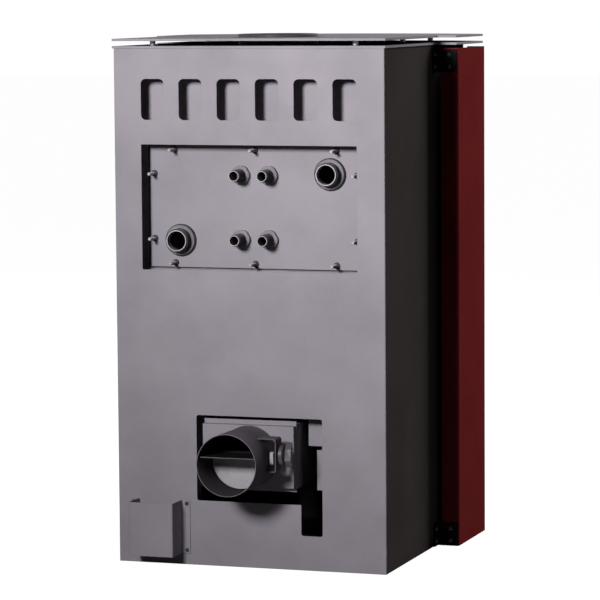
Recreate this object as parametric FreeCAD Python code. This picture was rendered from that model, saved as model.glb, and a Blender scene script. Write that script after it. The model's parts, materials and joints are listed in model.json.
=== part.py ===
"""Wood stove with a bolted-in back boiler, seen in the photograph from behind.

Millimetres, +Z up, front towards -Y. The origin is on the floor, in the middle of the casing's footprint.
"""
import FreeCAD, Part
import math
import os

Vector = FreeCAD.Vector

# Casing
BODY_WIDTH = 502.0
REAR_DEPTH = 318.0
WING_DEPTH = 180.0
WING_OVERHANG = 43.0
WING_RETURN = 33.0
WING_TOP_GAP = 6.0
PANEL_HEIGHT = 920.0
SHEET = 2.0
BASE_THICKNESS = 3.0
CORNER_RADIUS = 1.5

# Fits between pieces
SEAT_GAP = 0.3
RUNNING_CLEARANCE = 0.05
HOLE_CLEARANCE = 0.1
PANEL_CLEARANCE = 4.0
CUT_MARGIN = 1.0
FLATNESS = 0.001

# Top plates
PLATE_THICKNESS = 4.0
PLATE_SPACING = 9.0
PLATE_REAR_OVERHANG = 1.5
PLATE_SIDE_OVERHANG = 2.5
PLATE_WING_INSET = 3.0
PLATE_BOW_DEPTH = 90.0
SPACER_RADIUS = 5.0
SPACER_INSET_X = 62.0
SPACER_INSET_Y = 33.0

# Flue
FLUE_BORE = 65.3
FLUE_WALL = 6.5
FLUE_RISE = 6.0
FLUE_STOP = 4.0
FLUE_SETBACK = 169.0
FLUE_PLATE_GAP = 2.2

# Rear panel openings
SLOT_COUNT = 6
SLOT_WIDTH = 43.0
SLOT_HEIGHT = 72.5
SLOT_EDGE = 36.8
SLOT_DROP = 90.0
SLOT_RADIUS = 9.0
WINDOW_WIDTH = 401.0
WINDOW_HEIGHT = 222.5
WINDOW_DROP = 281.0
WINDOW_RADIUS = 2.0
INLET_CUT_WIDTH = 235.0
INLET_CUT_HEIGHT = 153.5
INLET_CUT_MIDDLE_X = -16.4
INLET_CUT_BELOW = 84.5
LEG_WIDTH = 39.5
LEG_DROP = 55.0
CUT_RADIUS = 4.0

# Boiler
BOILER_RECESS = 38.0
COVER_MARGIN = 2.5
COVER_THICKNESS = 5.0
GASKET_THICKNESS = 2.0
TANK_DEPTH = 82.0
TANK_WALL = 4.0
TANK_MARGIN = 22.5
BOLT_RADIUS = 3.0
BOLT_REACH = 30.0
BOLT_EDGE = 10.5
BOLT_CORNER_X = 39.0
BOLT_CORNER_Z = 42.75
BOLT_NUT_FLATS = 10.0
BOLT_NUT_HEIGHT = 5.0
STUB_INSET_X = 38.0
STUB_INSET_Z = 28.75
STUB_RADIUS = 20.95
STUB_NECK_RADIUS = 20.6
STUB_BORE = 16.5
STUB_REACH = 27.0
COLLAR_RADIUS = 28.5
COLLAR_HEIGHT = 7.0
COLLAR_CHAMFER = 1.75
LOOP_X = 26.0
LOOP_INSET_Z = 31.75
LOOP_RADIUS = 10.6
LOOP_PIPE_RADIUS = 10.2
LOOP_BORE = 7.5
LOOP_REACH = 41.0
LOOP_DEPTH = 47.0
LOOP_BEND = 22.0
NUT_FLATS = 33.0
NUT_HEIGHT = 8.0

# Rear heat shield
SHIELD_THICKNESS = 1.5
SHIELD_BOTTOM = 55.0
SHIELD_TOP_GAP = 6.0
SHIELD_CUT_EXTRA = 6.0
SHIELD_DUCT_GAP = 10.5
SHIELD_NOTCH = 7.0
SHIELD_TAB_RISE = 16.0
SHIELD_STRIP_DROP = 79.0
SHIELD_STRIP_X = 112.0

# Combustion air inlet
INLET_DROP = 93.0
TUBE_RADIUS = 55.0
TUBE_STEP = 1.0
TUBE_WALL = 1.5
TUBE_REACH = 127.0
INLET_SHIFT = 2.0
INLET_BODY_WIDTH = 172.0
INLET_BODY_HEIGHT = 114.0
INLET_FLANGE_HEIGHT = 126.0
INLET_STEP_SETBACK = 7.0
INLET_FACE_REACH = 6.0
INLET_FACE_WIDTH = 170.0
INLET_FACE_HEIGHT = 110.0
DUCT_LENGTH = 132.0
DUCT_RISER = 60.0
SPLITTER_SETBACK = 8.0
SPLITTER_GAP = 1.0

# Inlet damper
AXLE_RISE = 12.0
AXLE_REACH = 54.5
AXLE_RADIUS = 4.0
BLADE_RADIUS = 51.0
BLADE_THICKNESS = 2.0
STRIP_WIDTH = 31.0
STRIP_HEIGHT = 60.0
STRIP_BEND = 3.0
STRIP_STANDOFF = 17.0
ARM_WIDTH = 10.0
ARM_LENGTH = 13.5
ARM_THICKNESS = 6.4
ARM_GAP = 6.8
WASHER_RADIUS = 17.4
WASHER_GAP = 3.6
WASHER_THICKNESS = 7.0
KNOB_HEIGHT = 44.0
KNOB_FLAT = 21.0
KNOB_DEPTH = 13.0
KNOB_SLOPE = 8.0
KNOB_LENGTH = 12.0
KNOB_NECK = 1.0
KNOB_NECK_RADIUS = 6.0
KNOB_EDGE = 1.2

# Hat-section bracket on the rear panel
HAT_WIDTH = 83.0
HAT_HEIGHT = 96.0
HAT_DEPTH = 50.0
HAT_FLANGE = 15.5
HAT_EDGE = 79.5
HAT_BOTTOM = 20.0
HAT_SHEET = 1.5
SCREW_RADIUS = 2.0
SCREW_HEAD_RADIUS = 3.6
SCREW_HEAD_HEIGHT = 2.0
SCREW_LENGTH = 8.0
HAT_SCREW_EDGE = 6.0

# Wing brackets
ANGLE_HEIGHT = 42.0
ANGLE_LEG = 24.0
ANGLE_THICKNESS = 3.0
ANGLE_TOP_DROP = 2.0
ANGLE_SCREW_INSET = 10.0

# Firebox
SHELL_MARGIN = 5.5
SHELL_WALL = 4.0
SHELL_BOTTOM = 380.0
SHELL_TOP_DROP = 40.0
BRICK = 20.0
LINING = 25.0
BAFFLE_DROP = 90.0
BAFFLE_THICKNESS = 14.0
BAFFLE_FRONT_GAP = 90.0
GRATE_WIDTH = 180.0
GRATE_LENGTH = 230.0
GRATE_THICKNESS = 14.0
GRATE_MIDDLE_Y = -70.0
GRATE_BARS = 9
GRATE_SLOT = 9.0
GRATE_LEDGE = 8.0
SUPPORT_THICKNESS = 4.0
SUPPORT_INSET = 16.0
SUPPORT_LENGTH = 340.0
SUPPORT_SETBACK = 70.0

# Ash compartment and drawer
ASH_WIDTH = 264.0
ASH_WALL = 2.0
ASH_HEIGHT = 86.0
ASH_SETBACK = 105.0
DRAWER_WALL = 1.5
DRAWER_HEIGHT = 52.0
DRAWER_SETBACK = 190.0
DRAWER_SIDE_GAP = 8.0
DRAWER_FRONT_GAP = 9.0
PULL_RADIUS = 10.0
PULL_LENGTH = 24.0

# Bowed front, in arcs about one upright axis
FRONT_INSET = 14.0
FRONT_SHEET = 4.0
FRONT_HALF_ANGLE = 30.0
DOOR_THICKNESS = 20.0
DOOR_GAP = 12.0
FRAME_THICKNESS = 8.0
DOOR_SILL = 4.0
DOOR_HEAD_GAP = 6.0
WINDOW_FRAME_ANGLE = 8.0
WINDOW_FRAME_HEIGHT = 64.0
GLASS_THICKNESS = 4.0
GLASS_SEAT = 11.0
GLASS_LAP_ANGLE = 2.0
GLASS_GAP_ANGLE = 0.2
GLASS_LAP_HEIGHT = 14.0
CLIP_SIZE = 22.0
CLIP_THICKNESS = 3.0
OPENING_ANGLE = 24.0
OPENING_MARGIN = 32.0
GASKET_ANGLE = 1.5
GASKET_HEIGHT = 12.0
HEADER_HEIGHT = 38.0
LOWER_PANEL_BOTTOM = 40.0
LOWER_PANEL_GAP = 4.0
PANEL_FLANGE = 3.0
PLINTH_INSET = 19.0
PIVOT_INSET = 8.0
PIVOT_RADIUS = 4.0
PIVOT_DEPTH = 8.0
HINGE_PLATE = 5.0

# Door handle
HANDLE_ANGLE = 28.0
SPINDLE_RADIUS = 6.0
HUB_RADIUS = 13.0
HUB_LENGTH = 10.0
LEVER_LENGTH = 130.0
LEVER_RADIUS = 8.0
LEVER_EDGE = 4.0
TONGUE_LENGTH = 24.0
TONGUE_HEIGHT = 18.0
TONGUE_THICKNESS = 6.0
KEEPER_WIDTH = 14.0
KEEPER_HEIGHT = 50.0

# Air sliders in the bowed front
SLIDER_LENGTH = 90.0
SLIDER_HEIGHT = 18.0
SLIDER_THICKNESS = 3.0
SLIDER_TRAVEL = 40.0
SLIDER_STEM_RADIUS = 3.0
SLIDER_KNOB_RADIUS = 9.0
SLIDER_KNOB_LENGTH = 16.0
SLIDER_KNOB_GAP = 2.0
SLIDER_KNOB_EDGE = 1.8
GUIDE_HEIGHT = 3.0
PRIMARY_DROP = 30.0

# Derived places
BODY_DEPTH = REAR_DEPTH + WING_DEPTH
REAR = BODY_DEPTH / 2
WING_REAR = REAR - REAR_DEPTH
WING_FRONT = -BODY_DEPTH / 2
WING_HEIGHT = PANEL_HEIGHT - WING_TOP_GAP
HALF = BODY_WIDTH / 2
INNER_HALF = HALF - SHEET
WING_OUTER = HALF + WING_OVERHANG
PLATE_HALF = WING_OUTER - PLATE_WING_INSET
PLATE_LOW = PANEL_HEIGHT
PLATE_HIGH = PLATE_LOW + PLATE_THICKNESS + PLATE_SPACING
TOP = PLATE_HIGH + PLATE_THICKNESS
BOW_RADIUS = (PLATE_HALF ** 2 + PLATE_BOW_DEPTH ** 2) / (2 * PLATE_BOW_DEPTH)
BOW_Y = WING_FRONT - PLATE_BOW_DEPTH + BOW_RADIUS
DOOR_OUTER = BOW_RADIUS - FRONT_INSET
DOOR_INNER = DOOR_OUTER - DOOR_THICKNESS
FRAME_OUTER = DOOR_INNER - DOOR_GAP
FRAME_INNER = FRAME_OUTER - FRAME_THICKNESS
FRONT_INNER = DOOR_OUTER - FRONT_SHEET
FLUE_Y = REAR - FLUE_SETBACK
FLUE_OUTER = FLUE_BORE + FLUE_WALL
SLOT_PITCH = (BODY_WIDTH - 2 * SLOT_EDGE) / SLOT_COUNT
SLOT_MIDDLE_Z = PANEL_HEIGHT - SLOT_DROP
WINDOW_MIDDLE_Z = PANEL_HEIGHT - WINDOW_DROP
COVER_OUTER = REAR - BOILER_RECESS
COVER_INNER = COVER_OUTER - COVER_THICKNESS
SHELL_REAR = COVER_INNER - GASKET_THICKNESS
TANK_BACK = COVER_INNER - TANK_DEPTH
TANK_WIDTH = WINDOW_WIDTH - 2 * TANK_MARGIN
TANK_HEIGHT = WINDOW_HEIGHT - 2 * TANK_MARGIN
BOLT_SIDE_X = WINDOW_WIDTH / 2 - BOLT_EDGE
BOLT_ROW_Z = WINDOW_HEIGHT / 2 - BOLT_EDGE
BOLT_ROW_X = BOLT_SIDE_X - BOLT_CORNER_X
BOLT_SIDE_Z = BOLT_ROW_Z - BOLT_CORNER_Z
STUB_X = TANK_WIDTH / 2 - STUB_INSET_X
STUB_Z = TANK_HEIGHT / 2 - STUB_INSET_Z
LOOP_Z = TANK_HEIGHT / 2 - LOOP_INSET_Z
SHELL_HALF = WINDOW_WIDTH / 2 + SHELL_MARGIN
SHELL_TOP = PANEL_HEIGHT - SHELL_TOP_DROP
LINING_FACE = SHELL_HALF - SHELL_WALL - LINING
HEARTH = SHELL_BOTTOM + SHELL_WALL + BRICK
BAFFLE_Z = SHELL_TOP - BAFFLE_DROP
SUPPORT_SPREAD = SHELL_HALF - SUPPORT_INSET
ASH_FLOOR = SHELL_BOTTOM - ASH_HEIGHT
ASH_FLOOR_TOP = ASH_FLOOR + ASH_WALL
INLET_Z = ASH_FLOOR - INLET_DROP
INLET_CUT_BOTTOM = INLET_Z - INLET_CUT_BELOW
SHIELD_TAB_Z = INLET_Z + SHIELD_TAB_RISE
INLET_STEP = REAR - INLET_STEP_SETBACK
INLET_FACE = REAR + INLET_FACE_REACH
TUBE_MOUTH = REAR + TUBE_REACH
AXLE_Y = REAR + AXLE_REACH
TUBE_BODY_RADIUS = TUBE_RADIUS + TUBE_STEP
SPIGOT_LENGTH = TUBE_REACH - AXLE_REACH - STRIP_WIDTH / 2
AXLE_Z = INLET_Z + AXLE_RISE
STRIP_X = -(TUBE_RADIUS + STRIP_STANDOFF)
HAT_MIDDLE_X = HALF - HAT_EDGE
DRAWER_BOTTOM = ASH_FLOOR_TOP + SEAT_GAP
DRAWER_HALF = ASH_WIDTH / 2 - ASH_WALL - DRAWER_SIDE_GAP
DOOR_BOTTOM = SHELL_BOTTOM - DOOR_SILL
HEADER_BOTTOM = PANEL_HEIGHT - HEADER_HEIGHT
DOOR_TOP = HEADER_BOTTOM - DOOR_HEAD_GAP
DRAWER_FRONT_BOTTOM = ASH_FLOOR_TOP
DRAWER_FRONT_TOP = DOOR_BOTTOM - DRAWER_FRONT_GAP
LOWER_PANEL_TOP = DRAWER_FRONT_BOTTOM - LOWER_PANEL_GAP
PRIMARY_Z = LOWER_PANEL_TOP - PRIMARY_DROP
SECONDARY_Z = PANEL_HEIGHT - HEADER_HEIGHT / 2
HANDLE_Z = (DOOR_BOTTOM + DOOR_TOP) / 2
PIVOT_R = DOOR_OUTER - PIVOT_INSET
PIVOT_ANGLE = -(FRONT_HALF_ANGLE - math.degrees(PIVOT_INSET / PIVOT_R))
WELL_INSIDE = BOW_RADIUS / 2
WELL_OUTSIDE = 2 * BOW_RADIUS
FAR = 4 * BOW_RADIUS


def box(x0, x1, y0, y1, z0, z1):
    """Box between two corners."""
    return Part.makeBox(x1 - x0, y1 - y0, z1 - z0, Vector(x0, y0, z0))


def rod(radius, start, direction, length):
    """Round bar from a start point along a direction."""
    return Part.makeCylinder(radius, length, Vector(*start), Vector(*direction))


def pipe(outer, inner, start, direction, length):
    """Round tube from a start point along a direction."""
    return rod(outer, start, direction, length).cut(rod(inner, start, direction, length))


def edges_along(shape, axis):
    """Straight edges of a shape that run along an axis given as x, y or z."""
    found = []
    for edge in shape.Edges:
        span = edge.BoundBox
        sides = {"x": span.XLength, "y": span.YLength, "z": span.ZLength}
        length = sides.pop(axis)
        if length > FLATNESS and max(sides.values()) < FLATNESS:
            found.append(edge)
    return found


def rounded_hole(x0, x1, z0, z1, y0, y1, radius):
    """Box with rounded corners, for a cut through an upright sheet."""
    block = box(x0, x1, y0, y1, z0, z1)
    return block.makeFillet(radius, edges_along(block, "y"))


def prism(points, axis, start, length):
    """Solid drawn out along X or Z from a closed outline of the other two coordinates."""
    if axis == "z":
        corners = [Vector(a, b, start) for a, b in points]
        way = Vector(0, 0, length)
    else:
        corners = [Vector(start, a, b) for a, b in points]
        way = Vector(length, 0, 0)
    outline = Part.makePolygon(corners + corners[:1])
    return Part.Face(outline).extrude(way)


def bow_point(radius, degrees):
    """Plan position at a radius and an angle of the bowed front, zero at its middle."""
    turn = math.radians(degrees)
    return radius * math.sin(turn), BOW_Y - radius * math.cos(turn)


def bow(inner, outer, start, end, z0, z1):
    """Upright piece of a ring about the bow's axis, between two angles."""
    base = Vector(0, BOW_Y, z0)
    ring = Part.makeCylinder(outer, z1 - z0, base).cut(Part.makeCylinder(inner, z1 - z0, base))
    wedge = prism([(0, BOW_Y), bow_point(FAR, start), bow_point(FAR, end)], "z", z0, z1 - z0)
    return ring.common(wedge)


def bow_rod(radius, degrees, z, start, length):
    """Round bar that points straight out of the bowed front."""
    x, y = bow_point(start, degrees)
    turn = math.radians(degrees)
    return rod(radius, (x, y, z), (math.sin(turn), -math.cos(turn), 0), length)


def inside_bow(shape, radius):
    """Part of a shape that lies within a radius of the bow's axis."""
    return shape.common(Part.makeCylinder(radius, 3 * PANEL_HEIGHT, Vector(0, BOW_Y, -PANEL_HEIGHT)))


def mirrored(shape):
    """Copy of a shape on the other side of the stove."""
    return shape.mirror(Vector(0, 0, 0), Vector(1, 0, 0))


def base_plate():
    """Floor of the casing, inside its panels."""
    plate = box(-INNER_HALF, INNER_HALF, -REAR - PLATE_BOW_DEPTH, REAR - SHEET, 0, BASE_THICKNESS)
    return inside_bow(plate, DOOR_OUTER - PLINTH_INSET)


def rear_panel():
    """Sheet with the vent slots, the boiler window and the inlet cut-out."""
    panel = box(-HALF, HALF, REAR - SHEET, REAR, 0, PANEL_HEIGHT)
    corners = [edge for edge in edges_along(panel, "z") if edge.BoundBox.YMin > REAR - SHEET / 2]
    panel = panel.makeFillet(CORNER_RADIUS, corners)
    y0 = REAR - 2 * SHEET
    y1 = REAR + SHEET
    holes = []
    for index in range(SLOT_COUNT):
        middle = (index - (SLOT_COUNT - 1) / 2) * SLOT_PITCH
        low = SLOT_MIDDLE_Z - SLOT_HEIGHT / 2
        holes.append(rounded_hole(middle - SLOT_WIDTH / 2, middle + SLOT_WIDTH / 2,
                                  low, low + SLOT_HEIGHT, y0, y1, SLOT_RADIUS))
    low = WINDOW_MIDDLE_Z - WINDOW_HEIGHT / 2
    holes.append(rounded_hole(-WINDOW_WIDTH / 2, WINDOW_WIDTH / 2, low, low + WINDOW_HEIGHT,
                              y0, y1, WINDOW_RADIUS))
    holes.append(inlet_cut(y0, y1))
    holes += [rod(SCREW_RADIUS + HOLE_CLEARANCE, (x, y0, z), (0, 1, 0), y1 - y0)
              for x, z in hat_screw_places()]
    return panel.cut(holes)


def inlet_cut(y0, y1):
    """Cut-out round the air inlet, with a leg that drops on one side."""
    left = INLET_CUT_MIDDLE_X - INLET_CUT_WIDTH / 2
    main = rounded_hole(left, left + INLET_CUT_WIDTH, INLET_CUT_BOTTOM, INLET_CUT_BOTTOM + INLET_CUT_HEIGHT,
                        y0, y1, CUT_RADIUS)
    leg = rounded_hole(left, left + LEG_WIDTH, INLET_CUT_BOTTOM - LEG_DROP,
                       INLET_CUT_BOTTOM + INLET_CUT_HEIGHT / 2, y0, y1, CUT_RADIUS)
    return main.fuse(leg)


def side_panel():
    """Sheet along one side of the casing, from the rear panel to the front frame."""
    front = BOW_Y - math.sqrt(FRAME_OUTER ** 2 - HALF ** 2)
    panel = box(INNER_HALF, HALF, front, REAR - SHEET, 0, PANEL_HEIGHT)
    holes = []
    for z in angle_bottoms():
        for x, y, hole_z, way in angle_screws(z):
            holes.append(rod(SCREW_RADIUS + HOLE_CLEARANCE, (x, y, hole_z), way, SCREW_LENGTH))
    return panel.cut(holes)


def rear_heat_shield():
    """Inner sheet behind the rear panel, cut out round the boiler cover and the air duct."""
    y0 = COVER_OUTER - SHIELD_THICKNESS
    shield = box(-INNER_HALF, INNER_HALF, y0, COVER_OUTER, SHIELD_BOTTOM, PANEL_HEIGHT - SHIELD_TOP_GAP)
    reach_x = WINDOW_WIDTH / 2 - COVER_MARGIN + PANEL_CLEARANCE
    reach_z = WINDOW_HEIGHT / 2 - COVER_MARGIN + PANEL_CLEARANCE
    start = y0 - CUT_MARGIN
    end = COVER_OUTER + CUT_MARGIN
    cover = box(-reach_x, reach_x, start, end, WINDOW_MIDDLE_Z - reach_z, WINDOW_MIDDLE_Z + reach_z)
    left = INLET_CUT_MIDDLE_X - INLET_CUT_WIDTH / 2 - SHIELD_CUT_EXTRA
    right = INLET_CUT_MIDDLE_X + INLET_CUT_WIDTH / 2 + SHIELD_CUT_EXTRA
    strip_top = SHIELD_TAB_Z - SHIELD_STRIP_DROP
    leg_bottom = INLET_CUT_BOTTOM - LEG_DROP - 2 * SHIELD_CUT_EXTRA
    leg = rounded_hole(left, right, leg_bottom, strip_top, start, end, CUT_RADIUS)
    notch = box(left, right, start, end, SHIELD_TAB_Z - SHIELD_NOTCH, SHIELD_TAB_Z)
    low = rounded_hole(-SHIELD_STRIP_X, right, INLET_CUT_BOTTOM, SHIELD_TAB_Z, start, end, CUT_RADIUS)
    half = INLET_BODY_WIDTH / 2 + SHIELD_DUCT_GAP
    top = INLET_Z + INLET_FLANGE_HEIGHT / 2 + SHIELD_CUT_EXTRA
    high = rounded_hole(-half, half, INLET_Z, top, start, end, CUT_RADIUS)
    return shield.cut([cover, leg, notch, low, high])


def wing_panel():
    """Folded side wing: a rear return, the outer face and a front return."""
    inner = WING_OUTER - WING_RETURN
    face = box(inner, WING_OUTER, WING_FRONT, WING_REAR, 0, WING_HEIGHT)
    outer = [edge for edge in edges_along(face, "z") if edge.BoundBox.XMin > WING_OUTER - SHEET / 2]
    face = face.makeFillet(CORNER_RADIUS, outer)
    hollow = box(inner - SHEET, WING_OUTER - SHEET, WING_FRONT + SHEET, WING_REAR - SHEET, 0, WING_HEIGHT)
    return face.cut(hollow).cut([rod(SCREW_RADIUS + HOLE_CLEARANCE, (x, y, z), way, SCREW_LENGTH)
                                 for low in angle_bottoms() for x, y, z, way in angle_screws(low)])


def angle_bottoms():
    """Heights at which the wing brackets start."""
    return [0.0, WING_HEIGHT - ANGLE_TOP_DROP - ANGLE_HEIGHT]


def angle_screws(low):
    """Seats and directions of the screws of one wing bracket."""
    wing_x = WING_OUTER - WING_RETURN / 2
    side_y = WING_REAR + ANGLE_LEG / 2 + ANGLE_THICKNESS / 2
    screws = []
    for z in (low + ANGLE_SCREW_INSET, low + ANGLE_HEIGHT - ANGLE_SCREW_INSET):
        screws.append((wing_x, WING_REAR + ANGLE_THICKNESS, z, (0, -1, 0)))
        screws.append((HALF + ANGLE_THICKNESS, side_y, z, (-1, 0, 0)))
    return screws


def wing_bracket(low):
    """Black angle that joins the side panel to the wing's rear return."""
    across = box(HALF, WING_OUTER - SHEET, WING_REAR, WING_REAR + ANGLE_THICKNESS, low, low + ANGLE_HEIGHT)
    along = box(HALF, HALF + ANGLE_THICKNESS, WING_REAR, WING_REAR + ANGLE_LEG, low, low + ANGLE_HEIGHT)
    return across.fuse(along).cut([rod(SCREW_RADIUS + HOLE_CLEARANCE, (x, y, z), way, SCREW_LENGTH)
                                   for x, y, z, way in angle_screws(low)])


def screw(seat, way):
    """Pan-head screw: its head stands on the seat, its shank goes along the way."""
    back = [-step for step in way]
    head = rod(SCREW_HEAD_RADIUS, seat, back, SCREW_HEAD_HEIGHT)
    return head.fuse(rod(SCREW_RADIUS, seat, way, SCREW_LENGTH))


def wing_brackets():
    """Four black angles, two to a side."""
    one_side = [wing_bracket(low) for low in angle_bottoms()]
    return Part.makeCompound(one_side + [mirrored(piece) for piece in one_side])


def casing_screws():
    """Screws of the wing brackets and of the hat-section bracket."""
    one_side = [screw((x, y, z), way) for low in angle_bottoms() for x, y, z, way in angle_screws(low)]
    rear = [screw((x, REAR + HAT_SHEET, z), (0, -1, 0)) for x, z in hat_screw_places()]
    return Part.makeCompound(one_side + [mirrored(piece) for piece in one_side] + rear)


def top_plate(z, flue_hole):
    """T-shaped plate with a bowed front edge and the flue's hole."""
    rear = box(-HALF - PLATE_SIDE_OVERHANG, HALF + PLATE_SIDE_OVERHANG, WING_REAR, REAR + PLATE_REAR_OVERHANG,
               z, z + PLATE_THICKNESS)
    front = box(-PLATE_HALF, PLATE_HALF, WING_FRONT - PLATE_BOW_DEPTH, WING_REAR, z, z + PLATE_THICKNESS)
    plate = rear.fuse(inside_bow(front, BOW_RADIUS)).removeSplitter()
    return plate.cut(rod(flue_hole, (0, FLUE_Y, z - CUT_MARGIN), (0, 0, 1), PLATE_THICKNESS + 2 * CUT_MARGIN))


def top_plate_spacers():
    """Round spacers that hold the upper plate off the lower one."""
    x = HALF - SPACER_INSET_X
    places = [(side * x, REAR - SPACER_INSET_Y) for side in (-1, 1)]
    places += [(side * x, WING_REAR) for side in (-1, 1)]
    places += [(side * x, WING_FRONT) for side in (-1, 1)]
    low = PLATE_LOW + PLATE_THICKNESS
    return Part.makeCompound([rod(SPACER_RADIUS, (a, b, low), (0, 0, 1), PLATE_SPACING) for a, b in places])


def flue_collar():
    """Socket for the flue pipe, from the firebox top to a little above the upper plate."""
    length = TOP + FLUE_RISE - SHELL_TOP
    return pipe(FLUE_OUTER, FLUE_BORE, (0, FLUE_Y, SHELL_TOP), (0, 0, 1), length)


def cover_block(y0, y1):
    """Block of the boiler cover's outline between two depths."""
    x = WINDOW_WIDTH / 2 - COVER_MARGIN
    z = WINDOW_HEIGHT / 2 - COVER_MARGIN
    return box(-x, x, y0, y1, WINDOW_MIDDLE_Z - z, WINDOW_MIDDLE_Z + z)


def bolt_places():
    """Ten bolts round the boiler cover."""
    places = [(x, side * BOLT_ROW_Z) for side in (-1, 1) for x in (-BOLT_ROW_X, 0, BOLT_ROW_X)]
    places += [(side * BOLT_SIDE_X, z) for side in (-1, 1) for z in (-BOLT_SIDE_Z, BOLT_SIDE_Z)]
    return [(x, WINDOW_MIDDLE_Z + z) for x, z in places]


def bolt_holes():
    """Drillings for the boiler bolts, through cover, gasket and shell."""
    length = COVER_OUTER - SHELL_REAR + 2 * SHELL_WALL
    return [rod(BOLT_RADIUS + HOLE_CLEARANCE, (x, COVER_OUTER + CUT_MARGIN, z), (0, -1, 0), length)
            for x, z in bolt_places()]


def tank_block(inset):
    """Block of the water tank's outline, smaller by an inset."""
    x = TANK_WIDTH / 2 - inset
    z = TANK_HEIGHT / 2 - inset
    return box(-x, x, TANK_BACK + inset, COVER_INNER, WINDOW_MIDDLE_Z - z, WINDOW_MIDDLE_Z + z)


def stub_places():
    """Flow stub high on one side and return stub low on the other."""
    return [(-STUB_X, WINDOW_MIDDLE_Z + STUB_Z), (STUB_X, WINDOW_MIDDLE_Z - STUB_Z)]


def loop_places():
    """Ends of the two cooling loops."""
    return [(x, WINDOW_MIDDLE_Z + z) for x in (-LOOP_X, LOOP_X) for z in (-LOOP_Z, LOOP_Z)]


def boiler_cover_plate():
    """Bolted plate that carries the boiler's connections."""
    start = COVER_OUTER + CUT_MARGIN
    length = COVER_THICKNESS + 2 * CUT_MARGIN
    cuts = bolt_holes()
    for radius, places in ((STUB_NECK_RADIUS, stub_places()), (LOOP_PIPE_RADIUS, loop_places())):
        cuts += [rod(radius + HOLE_CLEARANCE, (x, start, z), (0, -1, 0), length) for x, z in places]
    return cover_block(COVER_INNER, COVER_OUTER).cut(cuts)


def boiler_gasket():
    """Flat seal between the cover plate and the firebox shell."""
    return cover_block(SHELL_REAR, COVER_INNER).cut(bolt_holes() + [tank_block(-HOLE_CLEARANCE)])


def boiler_tank():
    """Water tank on the inner side of the cover plate."""
    return tank_block(0).cut(tank_block(TANK_WALL))


def boiler_bolts():
    """Ten studs out of the firebox shell, each with a nut on the cover plate."""
    start = SHELL_REAR - SHELL_WALL
    length = COVER_OUTER + BOLT_REACH - start
    return Part.makeCompound([
        hexagon(x, COVER_OUTER, z, BOLT_NUT_FLATS, BOLT_NUT_HEIGHT).fuse(
            rod(BOLT_RADIUS, (x, start, z), (0, 1, 0), length))
        for x, z in bolt_places()])


def hexagon(x, y, z, flats, height):
    """Hexagon bar towards the rear, with corners at its left and right."""
    reach = flats / math.sqrt(3)
    turns = [math.radians(60 * corner) for corner in range(6)]
    corners = [Vector(x + reach * math.cos(turn), y, z + reach * math.sin(turn)) for turn in turns]
    return Part.Face(Part.makePolygon(corners + corners[:1])).extrude(Vector(0, height, 0))


def water_stub(place):
    """Pipe stub with a neck through the cover plate and a thicker free end."""
    x, z = place
    free = COVER_OUTER + COLLAR_HEIGHT
    neck = pipe(STUB_NECK_RADIUS, STUB_BORE, (x, COVER_INNER, z), (0, 1, 0), free - COVER_INNER)
    end = pipe(STUB_RADIUS, STUB_BORE, (x, free, z), (0, 1, 0), STUB_REACH - COLLAR_HEIGHT)
    return neck.fuse(end).removeSplitter()


def stub_collar(place):
    """Collar round a water stub, flat on the cover plate."""
    x, z = place
    ring = rod(COLLAR_RADIUS, (x, COVER_OUTER, z), (0, 1, 0), COLLAR_HEIGHT)
    rim = [edge for edge in ring.Edges if edge.BoundBox.YMin > COVER_OUTER + COLLAR_HEIGHT / 2
           and edge.BoundBox.XLength > COLLAR_RADIUS]
    ring = ring.makeChamfer(COLLAR_CHAMFER, rim)
    return ring.cut(rod(STUB_NECK_RADIUS + HOLE_CLEARANCE, (x, COVER_OUTER, z), (0, 1, 0), COLLAR_HEIGHT))


def cooling_loop(x):
    """Bent pipe inside the tank whose two thicker ends come out as small stubs."""
    high = WINDOW_MIDDLE_Z + LOOP_Z
    low = WINDOW_MIDDLE_Z - LOOP_Z
    mouth = COVER_OUTER + LOOP_REACH
    deep = COVER_INNER - LOOP_DEPTH
    bend = LOOP_BEND * math.sqrt(0.5)
    near = deep + LOOP_BEND
    top_arc = Part.Arc(Vector(x, near, high), Vector(x, near - bend, high - LOOP_BEND + bend),
                       Vector(x, deep, high - LOOP_BEND))
    low_arc = Part.Arc(Vector(x, deep, low + LOOP_BEND), Vector(x, near - bend, low + LOOP_BEND - bend),
                       Vector(x, near, low))
    path = Part.Wire([
        Part.LineSegment(Vector(x, mouth, high), Vector(x, near, high)).toShape(), top_arc.toShape(),
        Part.LineSegment(Vector(x, deep, high - LOOP_BEND), Vector(x, deep, low + LOOP_BEND)).toShape(),
        low_arc.toShape(), Part.LineSegment(Vector(x, near, low), Vector(x, mouth, low)).toShape()])
    start = Vector(x, mouth, high)
    skins = []
    for radius in (LOOP_PIPE_RADIUS, LOOP_BORE):
        ring = Part.Wire([Part.makeCircle(radius, start, Vector(0, 1, 0))])
        skins.append(path.makePipeShell([ring], True, False))
    loop = skins[0].cut(skins[1])
    free = COVER_OUTER + NUT_HEIGHT
    ends = [pipe(LOOP_RADIUS, LOOP_BORE, (x, free, z), (0, 1, 0), mouth - free) for z in (low, high)]
    return loop.fuse(ends).removeSplitter()


def loop_lock_nuts():
    """Hexagon nuts on the four small stubs."""
    return Part.makeCompound([
        hexagon(x, COVER_OUTER, z, NUT_FLATS, NUT_HEIGHT).cut(
            rod(LOOP_PIPE_RADIUS + HOLE_CLEARANCE, (x, COVER_OUTER, z), (0, 1, 0), NUT_HEIGHT))
        for x, z in loop_places()])


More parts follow.
